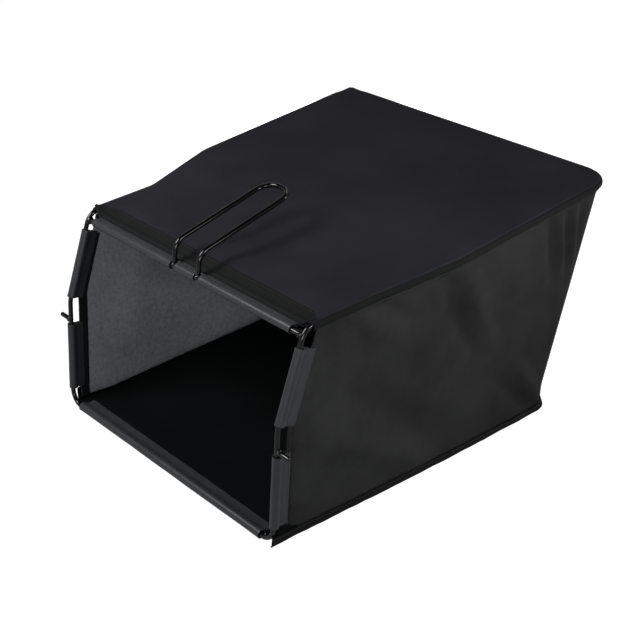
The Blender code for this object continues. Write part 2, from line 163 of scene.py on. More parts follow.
class Rail:
    """A line through close points, read by its share of the whole length."""

    def __init__(self, points: Sequence[Vector]) -> None:
        """Keeps the points and how far along the line each one is.

        Args:
            points: The points in order.
        """
        self.points = list(points)
        self.marks = [0.0]
        for a, b in zip(self.points, self.points[1:]):
            self.marks.append(self.marks[-1] + (b - a).length)

    @property
    def length(self) -> float:
        """The whole length in metres."""
        return self.marks[-1]

    def at(self, share: float) -> Vector:
        """The point at a share of the length, carried on straight past both ends.

        Args:
            share: The share, from 0 to 1.

        Returns:
            The point.
        """
        want = share * self.length
        i = min(max(bisect.bisect_right(self.marks, want) - 1, 0), len(self.points) - 2)
        run = self.marks[i + 1] - self.marks[i]
        return self.points[i].lerp(self.points[i + 1], (want - self.marks[i]) / run)

    def ahead(self, share: float) -> Vector:
        """The line's direction at a share of the length, evened over a few millimetres."""
        reach = DIRECTION_REACH / self.length
        return (self.at(min(share + reach, 1.0)) - self.at(max(share - reach, 0.0))).normalized()


@dataclass(frozen=True)
class HoopSizes:
    """Driving sizes of the wire frame, in metres and radians."""

    wire_d: float = 0.006
    mouth_width: float = 0.400
    lower_corner_r: float = 0.018
    mid_bend_rise: float = 0.1443
    mid_bend_set: float = 0.0106
    mid_bend_r: float = 0.040
    upper_lean: float = math.radians(20)
    upper_bend_r: float = 0.022
    bend_lead: float = 0.0105
    loop_rise: float = 0.2526
    front_run: float = 0.100
    front_flare: float = 0.003
    front_lift: float = 0.0035
    jog_run: float = 0.102
    jog_flare: float = 0.023
    jog_lift: float = 0.0155
    rear_run: float = 0.268
    rear_flare: float = 0.0035
    rear_lift: float = 0.0265
    jog_r: float = 0.070
    rear_corner_r: float = 0.032
    bar_drop: float = 0.0093
    pin_out: float = 0.021
    pin_rise: float = 0.117
    handle_width: float = 0.0446
    handle_leg_rise: float = 0.030
    handle_leg_set: float = 0.003
    handle_slope: float = math.radians(14)
    handle_length: float = 0.144
    handle_bend_r: float = 0.018
    handle_end_r: float = 0.020


class Hoop:
    """The wire frame's lines, set out from the bottom bar of the frame's own hoop."""

    def __init__(self, sizes: HoopSizes) -> None:
        """Finds the bottom bar in the frame and works the other places out from it.

        Args:
            sizes: The frame's driving sizes.
        """
        self.sizes = sizes
        self.wire_r = sizes.wire_d / 2
        self.half = sizes.mouth_width / 2
        low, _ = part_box("frame_hoop")
        self.origin = Vector((0, low.y + self.wire_r, low.z + self.wire_r))
        self.loop_set = self.upright_y(sizes.loop_rise)
        tangent = sizes.upper_bend_r * math.tan((math.pi / 2 - sizes.upper_lean) / 2)
        self.bend_end = self.loop_set + tangent
        drop = sizes.upper_bend_r - sizes.bar_drop
        self.bar_y = self.bend_end - math.sqrt(sizes.upper_bend_r**2 - drop**2)
        self.bar_z = sizes.loop_rise - sizes.bar_drop
        self.path = bent(self.corners(RIGHT) + self.corners(LEFT)[::-1], closed=True)
        first = self.spot(0, self.bend_end - sizes.bend_lead - 1e-5, 0).y
        half = [p for p in self.path if p.x > 0 and p.y >= first]
        half = [p for p in half if p.z > self.spot(0, 0, sizes.mid_bend_rise).z]
        self.half_loop = Rail(half)
        self.depths = [p.y for p in half]
        self.loop = Rail(half + mirrored(half))

    def spot(self, x: float, y: float, z: float) -> Vector:
        """A point given from the middle of the bottom bar's centre line."""
        return self.origin + Vector((x, y, z))

    def upright_y(self, rise: float) -> float:
        """How far back the upright's centre line is at a height above the bottom bar.

        Args:
            rise: The height above the bottom bar.

        Returns:
            The distance behind the bottom bar.
        """
        s = self.sizes
        if rise <= s.mid_bend_rise:
            return s.mid_bend_set * rise / s.mid_bend_rise
        return s.mid_bend_set + (rise - s.mid_bend_rise) * math.tan(s.upper_lean)

    def corners(self, side: int) -> list[Corner]:
        """One side's corners, from the bottom bar up and back to the rear.

        Args:
            side: RIGHT or LEFT.

        Returns:
            The corners in order.
        """
        s = self.sizes
        shoulder = self.half + s.front_flare
        wide = shoulder + s.jog_flare
        jog_y = self.loop_set + s.front_run
        jog_z = s.loop_rise + s.front_lift
        rear_z = jog_z + s.jog_lift + s.rear_lift
        rear_y = jog_y + s.jog_run + s.rear_run
        return [
            Corner(self.spot(side * self.half, 0, 0), s.lower_corner_r),
            Corner(self.spot(side * self.half, s.mid_bend_set, s.mid_bend_rise), s.mid_bend_r),
            Corner(self.spot(side * self.half, self.loop_set, s.loop_rise), s.upper_bend_r),
            Corner(self.spot(side * shoulder, jog_y, jog_z), s.jog_r),
            Corner(self.spot(side * wide, jog_y + s.jog_run, jog_z + s.jog_lift), s.jog_r),
            Corner(self.spot(side * (wide + s.rear_flare), rear_y, rear_z), s.rear_corner_r),
        ]

    def loop_at(self, y: float) -> tuple[float, float]:
        """The top loop's half width and height at a depth, up to the rear corner's arc.

        Args:
            y: The depth.

        Returns:
            The half width and the height, in the frame's axes.
        """
        points = self.half_loop.points
        i = bisect.bisect_right(self.depths, y) - 1
        if i < 0:
            return points[0].x, points[0].z
        if i >= len(points) - 1:
            return points[-1].x, points[-1].z
        share = (y - self.depths[i]) / (self.depths[i + 1] - self.depths[i])
        a, b = points[i], points[i + 1]
        return mix(a.x, b.x, share), mix(a.z, b.z, share)

    def handle_path(self) -> list[Vector]:
        """The carrying handle's centre line, from one foot to the other.

        Returns:
            Points along the handle.
        """
        s = self.sizes
        half = s.handle_width / 2
        bend_y = self.bar_y + s.handle_leg_set
        bend_z = self.bar_z + s.handle_leg_rise
        tip_y = bend_y + s.handle_length * math.cos(s.handle_slope)
        tip_z = bend_z + s.handle_length * math.sin(s.handle_slope)
        right = [
            Corner(self.spot(half, self.bar_y, self.bar_z + self.wire_r), 0),
            Corner(self.spot(half, bend_y, bend_z), s.handle_bend_r),
            Corner(self.spot(half, tip_y, tip_z), s.handle_end_r),
        ]
        left = [Corner(Vector((-c.point.x, c.point.y, c.point.z)), c.radius) for c in right[::-1]]
        return bent(right + left, closed=False)


# Finishes


def linear(code: str) -> tuple[float, float, float, float]:
    """A colour written as sRGB hex, as the linear values that a shader takes.

    Args:
        code: The colour, such as #1a2b3c.

    Returns:
        Red, green and blue, and 1 for its cover.
    """
    parts = [int(code[i : i + 2], 16) / 255 for i in (1, 3, 5)]
    red, green, blue = (c / 12.92 if c <= 0.04045 else ((c + 0.055) / 1.055) ** 2.4 for c in parts)
    return red, green, blue, 1.0


def add(tree: bpy.types.NodeTree, kind: str, inputs: dict | None = None, **settings) -> bpy.types.Node:
    """Adds a node.

    Args:
        tree: The tree that it goes into.
        kind: The node's type.
        inputs: Values or sockets by the name or number of the input that they go to.
        **settings: The node's own properties.

    Returns:
        The new node.
    """
    made = tree.nodes.new(kind)
    for name, value in settings.items():
        setattr(made, name, value)
    for key, value in (inputs or {}).items():
        if isinstance(value, bpy.types.NodeSocket):
            tree.links.new(value, made.inputs[key])
        else:
            made.inputs[key].default_value = value
    return made


class Weave(Enum):
    """How a cloth's threads show."""

    PLAIN = "plain"
    RIBBED = "ribbed"
    # Painted specular speckles and painted wrinkle shade, for the coated back.
    PAINTED_SPECKLE = "speckled"


@dataclass(frozen=True)
class Finish:
    """A surface's colours and gloss. Its name says what the real material is."""

    name: str
    colour: str
    shade: str
    roughness: float
    specular: float = 0.5
    sheen: float = 0.0
    coat: float = 0.0

    def start(self) -> tuple[bpy.types.Material, bpy.types.NodeTree, bpy.types.Node]:
        """Makes the material with an empty Principled shader.

        Returns:
            The material, its node tree and the shader.
        """
        made = bpy.data.materials.new(self.name)
        made.use_nodes = True
        tree = made.node_tree
        shader = tree.nodes["Principled BSDF"]
        shader.inputs["Roughness"].default_value = self.roughness
        shader.inputs["Specular IOR Level"].default_value = self.specular
        shader.inputs["Sheen Weight"].default_value = self.sheen
        shader.inputs["Sheen Roughness"].default_value = 0.5
        shader.inputs["Coat Weight"].default_value = self.coat
        shader.inputs["Coat Roughness"].default_value = 0.08
        return made, tree, shader

    def blend(self, tree: bpy.types.NodeTree, factor: bpy.types.NodeSocket) -> bpy.types.NodeSocket:
        """The finish's two colours mixed by a factor.

        Args:
            tree: The material's tree.
            factor: 0 for the shade, 1 for the colour.

        Returns:
            The mixed colour.
        """
        ramp = add(tree, "ShaderNodeValToRGB", {"Fac": factor})
        ramp.color_ramp.elements[0].position = 0.25
        ramp.color_ramp.elements[0].color = linear(self.shade)
        ramp.color_ramp.elements[1].position = 0.75
        ramp.color_ramp.elements[1].color = linear(self.colour)
        return ramp.outputs["Color"]

    def join(self, tree: bpy.types.NodeTree, shader: bpy.types.Node, tone: bpy.types.NodeSocket,
             gloss: bpy.types.NodeSocket, rough: tuple[float, float], relief: bpy.types.Node) -> None:
        """Joins the finish's colours, its uneven gloss and its relief to the shader.

        Args:
            tree: The material's tree.
            shader: The Principled shader.
            tone: What mixes the two colours.
            gloss: What varies the gloss.
            rough: The lowest and the highest roughness, as shares of the finish's own.
            relief: The bump node.
        """
        low, high = [min(self.roughness * share, 1.0) for share in rough]
        uneven = add(tree, "ShaderNodeMapRange", {"Value": gloss, "To Min": low, "To Max": high})
        tree.links.new(self.blend(tree, tone), shader.inputs["Base Color"])
        tree.links.new(uneven.outputs["Result"], shader.inputs["Roughness"])
        tree.links.new(relief.outputs["Normal"], shader.inputs["Normal"])


@dataclass(frozen=True)
class Enamel(Finish):
    """Stoved black enamel on drawn steel wire: deep, glossy, with a faint orange peel."""

    peel: float = 0.0035

    def make(self) -> bpy.types.Material:
        """Builds the material; the peel's waves are a few millimetres long.

        Returns:
            The material.
        """
        made, tree, shader = self.start()
        where = add(tree, "ShaderNodeTexCoord").outputs["Object"]
        peel = add(tree, "ShaderNodeTexNoise", {"Vector": where, "Scale": 1 / self.peel, "Detail": 2.0})
        dust = add(tree, "ShaderNodeTexNoise", {"Vector": where, "Scale": 45.0, "Detail": 5.0})
        waves = {"Height": peel.outputs["Fac"], "Strength": 0.10, "Distance": 0.0004}
        bump = add(tree, "ShaderNodeBump", waves)
        self.join(tree, shader, dust.outputs["Fac"], dust.outputs["Fac"], (0.8, 1.3), bump)
        return made


@dataclass(frozen=True)
class Cloth(Finish):
    """Woven cloth with a coated face: threads on the UV map, soft clouds of tone across it."""

    pitch: float = 0.0022
    depth: float = 0.00025
    cloud: float = 0.09
    thread_share: float = 0.25
    weave: Weave = Weave.PLAIN
    through: float = 0.0

    def threads(self, tree: bpy.types.NodeTree) -> bpy.types.NodeSocket:
        """The height of warp and weft; the pitch is drawn coarser than real, so that it shows.

        Args:
            tree: The material's tree.

        Returns:
            The height, from 0 to 1.
        """
        where = add(tree, "ShaderNodeUVMap").outputs["UV"]
        # A wave texture repeats every pi / 10 of its scaled coordinate.
        scale = math.pi / 10 / self.pitch
        common = {"Vector": where, "Distortion": 0.8, "Detail": 2.0, "Detail Scale": 1.4}
        weft = add(tree, "ShaderNodeTexWave", common | {"Scale": scale}, bands_direction="Y")
        if self.weave is Weave.PLAIN:
            warp = add(tree, "ShaderNodeTexWave", common | {"Scale": scale}, bands_direction="X")
            both = {"Factor": 0.5, "A": weft.outputs["Fac"], "B": warp.outputs["Fac"]}
            return add(tree, "ShaderNodeMix", both).outputs["Result"]
        # The ribs show in patches, where the cloth lies slack, and fade where it is pulled tight.
        patch = add(tree, "ShaderNodeTexNoise", {"Vector": where, "Scale": 14.0, "Detail": 2.0})
        clear = add(tree, "ShaderNodeMapRange", {"Value": patch.outputs["Fac"], "From Min": 0.42,
                                                 "From Max": 0.62, "To Min": 0.12, "To Max": 1.0})
        both = {"Factor": clear.outputs["Result"], "A": 0.5, "B": weft.outputs["Fac"]}
        return add(tree, "ShaderNodeMix", both).outputs["Result"]

    def make(self) -> bpy.types.Material:
        """Builds the material from its threads, clouds and grain.

        Returns:
            The material.
        """
        made, tree, shader = self.start()
        where = add(tree, "ShaderNodeTexCoord").outputs["Object"]
        threads = self.threads(tree)
        cloud = add(tree, "ShaderNodeTexNoise", {"Vector": where, "Scale": 1 / self.cloud, "Detail": 4.0,
                                                 "Roughness": 0.62})
        tone = cloud.outputs["Fac"]
        if self.weave is Weave.PAINTED_SPECKLE:
            # The coated back's mottle, in patches a few millimetres across: painted specular speckles and
            # painted shade of fine wrinkles, mixed into its colour.
            painted_speckle = add(tree, "ShaderNodeTexNoise", {"Vector": where, "Scale": 190.0, "Detail": 4.0,
                                                      "Roughness": 0.75})
            tone = add(tree, "ShaderNodeMix", {"Factor": 0.66, "A": tone, "B": painted_speckle.outputs["Fac"]})
            tone = tone.outputs["Result"]
        tone = add(tree, "ShaderNodeMix", {"Factor": self.thread_share, "A": tone, "B": threads})
        grain = add(tree, "ShaderNodeTexNoise", {"Vector": where, "Scale": 900.0, "Detail": 2.0})
        height = add(tree, "ShaderNodeMix", {"Factor": 0.3, "A": threads, "B": grain.outputs["Fac"]})
        bump = add(tree, "ShaderNodeBump", {"Height": height.outputs["Result"], "Strength": 0.6,
                                            "Distance": self.depth})
        self.join(tree, shader, tone.outputs["Result"], cloud.outputs["Fac"], (0.88, 1.12), bump)
        if self.through:
            # Thin cloth against the light: some passes through, more where the coating is thin.
            light = add(tree, "ShaderNodeValToRGB", {"Fac": tone.outputs["Result"]})
            light.color_ramp.elements[0].position = 0.36
            light.color_ramp.elements[0].color = linear("#9b9fa6")
            light.color_ramp.elements[1].position = 0.64
            light.color_ramp.elements[1].color = linear("#f6f8fc")
            lit = add(tree, "ShaderNodeBsdfTranslucent", {"Color": light.outputs["Color"]})
            halves = {0: self.through, 1: shader.outputs[0], 2: lit.outputs[0]}
            both = add(tree, "ShaderNodeMixShader", halves)
            tree.links.new(both.outputs[0], tree.nodes["Material Output"].inputs["Surface"])
        return made


@dataclass(frozen=True)
class Vinyl(Finish):
    """Calendered PVC strip: a fine leathery grain and soft streaks along its length."""

    grain: float = 0.0012

    def make(self) -> bpy.types.Material:
        """Builds the material; the real grain of a third of a millimetre is drawn coarser.

        Returns:
            The material.
        """
        made, tree, shader = self.start()
        where = add(tree, "ShaderNodeTexCoord").outputs["Object"]
        grain = add(tree, "ShaderNodeTexNoise", {"Vector": where, "Scale": 1 / self.grain, "Detail": 3.0})
        cloud = add(tree, "ShaderNodeTexNoise", {"Vector": where, "Scale": 60.0, "Detail": 4.0})
        both = {"Factor": 0.4, "A": cloud.outputs["Fac"], "B": grain.outputs["Fac"]}
        tone = add(tree, "ShaderNodeMix", both)
        leather = {"Height": grain.outputs["Fac"], "Strength": 0.35, "Distance": 0.0003}
        bump = add(tree, "ShaderNodeBump", leather)
        self.join(tree, shader, tone.outputs["Result"], cloud.outputs["Fac"], (0.8, 1.2), bump)
        return made


@dataclass
class Finishes:
    """Every finish of the bag, made once."""

    enamel: bpy.types.Material
    vinyl: bpy.types.Material
    top: bpy.types.Material
    side: bpy.types.Material
    back: bpy.types.Material
    base: bpy.types.Material
    tape: bpy.types.Material
    thread: bpy.types.Material
    tack: bpy.types.Material

    @classmethod
    def create(cls) -> "Finishes":
        """Makes the nine finishes.

        Returns:
            The set of them.
        """
        return cls(
            # A wet, nearly black gloss: low roughness over a peel that only bends the highlight.
            enamel=Enamel("stoved_black_enamel", "#060607", "#030304", 0.07, specular=0.42).make(),
            # A dull grey shine, broken by a fine grain: a broad highlight and noise in the height.
            vinyl=Vinyl("calendered_pvc_strip", "#3a3c3f", "#2e3032", 0.38, specular=0.36).make(),
            # Smooth, nearly matt, faintly cool: soft clouds of tone and threads too fine to stand out.
            top=Cloth("pu_coated_polyester", "#2f2e33", "#212025", 0.85, specular=0.08,
                      pitch=0.0011, depth=0.00012, cloud=0.11, thread_share=0.12).make(),
            # Open ribs across the wall, in patches; a little light comes through them.
            side=Cloth("oxford_polyester", "#333333", "#212121", 0.75, specular=0.10,
                       thread_share=0.12, pitch=0.0027, depth=0.0002, cloud=0.13,
                       weave=Weave.RIBBED, through=0.05).make(),
            # The pale coating inside, mottled with painted speckled highlights and painted wrinkle shade,
            # and lit from behind where the cloth is thin.
            back=Cloth("coated_back_of_oxford", "#bec0c4", "#84868a", 0.75, specular=0.08,
                       thread_share=0.05, pitch=0.0027, depth=0.0002, cloud=0.08,
                       weave=Weave.PAINTED_SPECKLE, through=0.35).make(),
            # Plain weave and next to no shine, the darkest cloth of the bag.
            base=Cloth("black_base_canvas", "#0c1111", "#080c0c", 0.85, specular=0.06,
                       pitch=0.0018, depth=0.0002, cloud=0.10).make(),
            # A dense band of ribs, which stand higher than the threads of the cloths.
            tape=Cloth("woven_polyester_tape", "#1e1f1f", "#151615", 0.8, specular=0.10,
                       pitch=0.0015, depth=0.00025, cloud=0.05, weave=Weave.RIBBED).make(),
            # Bonded thread: a grey lighter than what it sews, with a point of light on each stitch.
            thread=Cloth("bonded_nylon_thread", "#37383a", "#242527", 0.55, specular=0.3,
                         pitch=0.0006, depth=0.0001).make(),
            # Black thread of the mouth's hem and the bar tacks, darker than the wall under it.
            tack=Cloth("black_polyester_thread", "#090a0a", "#050606", 0.6, specular=0.2,
                       pitch=0.0006, depth=0.0001).make(),
        )


# Meshes


def finished(name: str, bm: bmesh.types.BMesh, materials: Sequence[bpy.types.Material]) -> bpy.types.Object:
    """Makes an object at the origin from a bmesh.

    Args:
        name: The piece's name.
        bm: Its shape, which is freed here.
        materials: Its materials in order.

    Returns:
        The new object, shaded smooth and riding on the frame.
    """
    mesh = bpy.data.meshes.new(name)
    bm.to_mesh(mesh)
    bm.free()
    mesh.shade_smooth()
    for each in materials:
        mesh.materials.append(each)
    made = bpy.data.objects.new(name, mesh)
    bpy.context.scene.collection.objects.link(made)
    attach(made, BODY)
    log.info("%s: %d faces", name, len(mesh.polygons))
    return made


def sheet_mesh(name: str, across: int, along: int, place: Place, size: tuple[float, float],
               materials: Sequence[bpy.types.Material]) -> bpy.types.Object:
    """Bends a flat grid into a sheet.

    Args:
        name: The piece's name.
        across: Faces along the first direction.
        along: Faces along the second direction.
        place: Where a point goes, from its two shares, each from 0 to 1.
        size: The sheet's size in metres along both directions, for its UV map.
        materials: Its materials in order.

    Returns:
        The sheet, without a thickness yet.
    """
    bm = bmesh.new()
    bmesh.ops.create_grid(bm, x_segments=across, y_segments=along, size=0.5, calc_uvs=True)
    uv = bm.loops.layers.uv.verify()
    for face in bm.faces:
        for loop in face.loops:
            flat = loop.vert.co
            loop[uv].uv = ((flat.x + 0.5) * size[0], (flat.y + 0.5) * size[1])
    for vert in bm.verts:
        vert.co = place(vert.co.x + 0.5, vert.co.y + 0.5)
    return finished(name, bm, materials)


def thicken(piece: bpy.types.Object, thickness: float, offset: float = 0.0, inner: int = 0) -> None:
    """Gives a sheet its two faces and its rim.

    Args:
        piece: The sheet.
        thickness: The cloth's thickness.
        offset: Where it lies, from -1 behind the surface to 1 in front of it.
        inner: How many slots further the back's material is.
    """
    wall = piece.modifiers.new("cloth", "SOLIDIFY")
    wall.thickness = thickness
    wall.offset = offset
    wall.use_even_offset = False
    wall.material_offset = inner
    wall.use_rim = True


def soften(piece: bpy.types.Object, width: float, segments: int = 2) -> None:
    """Rounds the sharp edges of a piece.

    Args:
        piece: The piece.
        width: The width of the rounded edge.
        segments: Faces across it.
    """
    edge = piece.modifiers.new("edge", "BEVEL")
    edge.width = width
    edge.segments = segments
    edge.limit_method = "ANGLE"
    edge.angle_limit = SHARP
    edge.use_clamp_overlap = True


def tube(name: str, path: Sequence[Vector], radius: float, material: bpy.types.Material,
         closed: bool = False) -> bpy.types.Object:
    """A round wire along a path, with a small round edge at each end.

    Args:
        name: The piece's name.
        path: Points along its centre line.
        radius: The wire's radius.
        material: Its finish.
        closed: Whether the wire is a closed hoop.

    Returns:
        The wire as a mesh.
    """
    data = bpy.data.curves.new(name, "CURVE")
    data.dimensions = "3D"
    data.twist_mode = "MINIMUM"
    data.bevel_mode = "ROUND"
    data.bevel_depth = radius
    data.bevel_resolution = 6
    spline = data.splines.new("POLY")
    points = list(path)
    widths = [1.0] * len(points)
    if not closed:
        start, finish = points[0], points[-1]
        ahead = (points[1] - start).normalized()
        back = (points[-2] - finish).normalized()
        round_in = [(0.0, 0.55), (0.06, 0.80), (0.2, 0.95), (0.4, 1.0)]
        lead = [start + ahead * radius * reach for reach, _ in round_in]
        tail = [finish + back * radius * reach for reach, _ in reversed(round_in)]
        points = lead + points[1:-1] + tail
        sizes = [width for _, width in round_in]
        widths = sizes + [1.0] * (len(points) - 2 * len(sizes)) + sizes[::-1]
    spline.points.add(len(points) - 1)
    for knot, point, width in zip(spline.points, points, widths):
        knot.co = (*point, 1.0)
        knot.radius = width
    spline.use_cyclic_u = closed
    data.use_fill_caps = not closed
    curve = bpy.data.objects.new(name + "_line", data)
    bpy.context.scene.collection.objects.link(curve)
    bpy.context.view_layer.update()
    shape = bpy.data.meshes.new_from_object(curve.evaluated_get(bpy.context.evaluated_depsgraph_get()))
    bpy.data.objects.remove(curve, do_unlink=True)
    bm = bmesh.new()
    bm.from_mesh(shape)
    bpy.data.meshes.remove(shape)
    bmesh.ops.remove_doubles(bm, verts=bm.verts, dist=1e-6)
    bmesh.ops.recalc_face_normals(bm, faces=bm.faces)
    return finished(name, bm, [material])


def bead(name: str, centre: Vector, axis: Vector, radii: tuple[float, float], seed: float,
         material: bpy.types.Material) -> bpy.types.Object:
    """A lumpy weld bead round a wire's end.

    Args:
        name: The piece's name.
        centre: Its middle.
        axis: The direction of the wire that it holds.
        radii: Its reach along the wire and round it.
        seed: What makes its lumps its own.
        material: Its finish.

    Returns:
        The bead.
    """
    bm = bmesh.new()
    bmesh.ops.create_uvsphere(bm, u_segments=28, v_segments=18, radius=1.0)
    turn = UP.rotation_difference(axis).to_matrix()
    for vert in bm.verts:
        lump = 1.0
        for share, size in WELD_LUMPS:
            lump += share * wave(vert.co, size, seed)
        local = Vector((vert.co.x * radii[1], vert.co.y * radii[1], vert.co.z * radii[0])) * lump
        vert.co = centre + turn @ local
    return finished(name, bm, [material])


@dataclass(frozen=True)
class Thread:
    """Sewing thread, seen as one short stitch after another."""

    pitch: float = 0.0036
    share: float = 0.72
    radius: float = 0.00034

    def sew(self, name: str, runs: Sequence[Sequence[tuple[Vector, Vector]]],
            material: bpy.types.Material) -> bpy.types.Object:
        """Lays stitches along lines on a surface.

        Args:
            name: The piece's name.
            runs: Lines of (point, surface normal) pairs.
            material: The thread's finish.

        Returns:
            All the stitches as one piece.
        """
        bm = bmesh.new()
        for run in runs:
            rail = Rail([point for point, _ in run])
            count = max(1, round(rail.length / self.pitch))
            for i in range(count):
                share = (i + 0.5) / count
                j = min(round(share * (len(run) - 1)), len(run) - 1)
                self.stitch(bm, rail.at(share), rail.ahead(share), run[j][1])
        return finished(name, bm, [material])

    def stitch(self, bm: bmesh.types.BMesh, middle: Vector, ahead: Vector, normal: Vector) -> None:
        """Adds one stitch, a short spindle half sunk into the cloth.

        Args:
            bm: The mesh that it is added to.
            middle: The stitch's middle.
            ahead: The direction that the row runs in.
            normal: The direction out of the cloth.
        """
        flat = (normal - ahead * normal.dot(ahead)).normalized()
        beside = ahead.cross(flat)
        half = self.pitch * self.share / 2
        basis = Matrix((beside * self.radius * 1.3, flat * self.radius, ahead * half)).transposed()
        where = Matrix.Translation(middle) @ basis.to_4x4()
        bmesh.ops.create_icosphere(bm, subdivisions=1, radius=1.0, matrix=where)


# The bag's own surfaces


@dataclass(frozen=True)
class BagSizes:
    """Sizes of the sewn bag, in metres."""

    tunnel_r: float = 0.0055
    tunnel_shift: float = 0.0010
    edge_setback: float = 0.012
    hem_width: float = 0.012
    top_hem_width: float = 0.019
    top_inset: float = 0.0315
    flange: float = 0.019
    hem_flange: float = 0.016
    base_depth: float = 0.452
    base_flare: float = 0.012
    base_corner_r: float = 0.022
    base_settle: float = 0.050
    wall_drop: float = 0.0056
    binding_high: float = 0.0130
    binding_low: float = 0.0062
    binding_out: float = 0.0062
    wall_foot: float = 0.0010
    bend_ease: float = 0.012
    cloth: float = 0.0009
    tape: float = 0.0008


@dataclass(frozen=True)
class Fold:
    """A crease in a wall, from one point to another as (metres along it, share of its height)."""

    start: tuple[float, float]
    finish: tuple[float, float]
    width: float
    depth: float

    def height(self, along: float, rise: float, tall: float) -> float:
        """How far the crease lifts the cloth at a point; it fades towards both its ends.

        Args:
            along: The distance round the top loop from the mouth.
            rise: The share of the wall's height.
            tall: The wall's height in metres.

        Returns:
            The lift in metres; below 0 it is a hollow.
        """
        a = Vector((self.start[0], self.start[1] * tall))
        b = Vector((self.finish[0], self.finish[1] * tall))
        p = Vector((along, rise * tall))
        line = b - a
        share = min(max((p - a).dot(line) / line.length_squared, 0.0), 1.0)
        off = (p - a - line * share).length
        fade = smooth(share, -0.35, 0.35) * smooth(1 - share, -0.35, 0.35)
        return self.depth * fade * math.exp(-((off / self.width) ** 2))


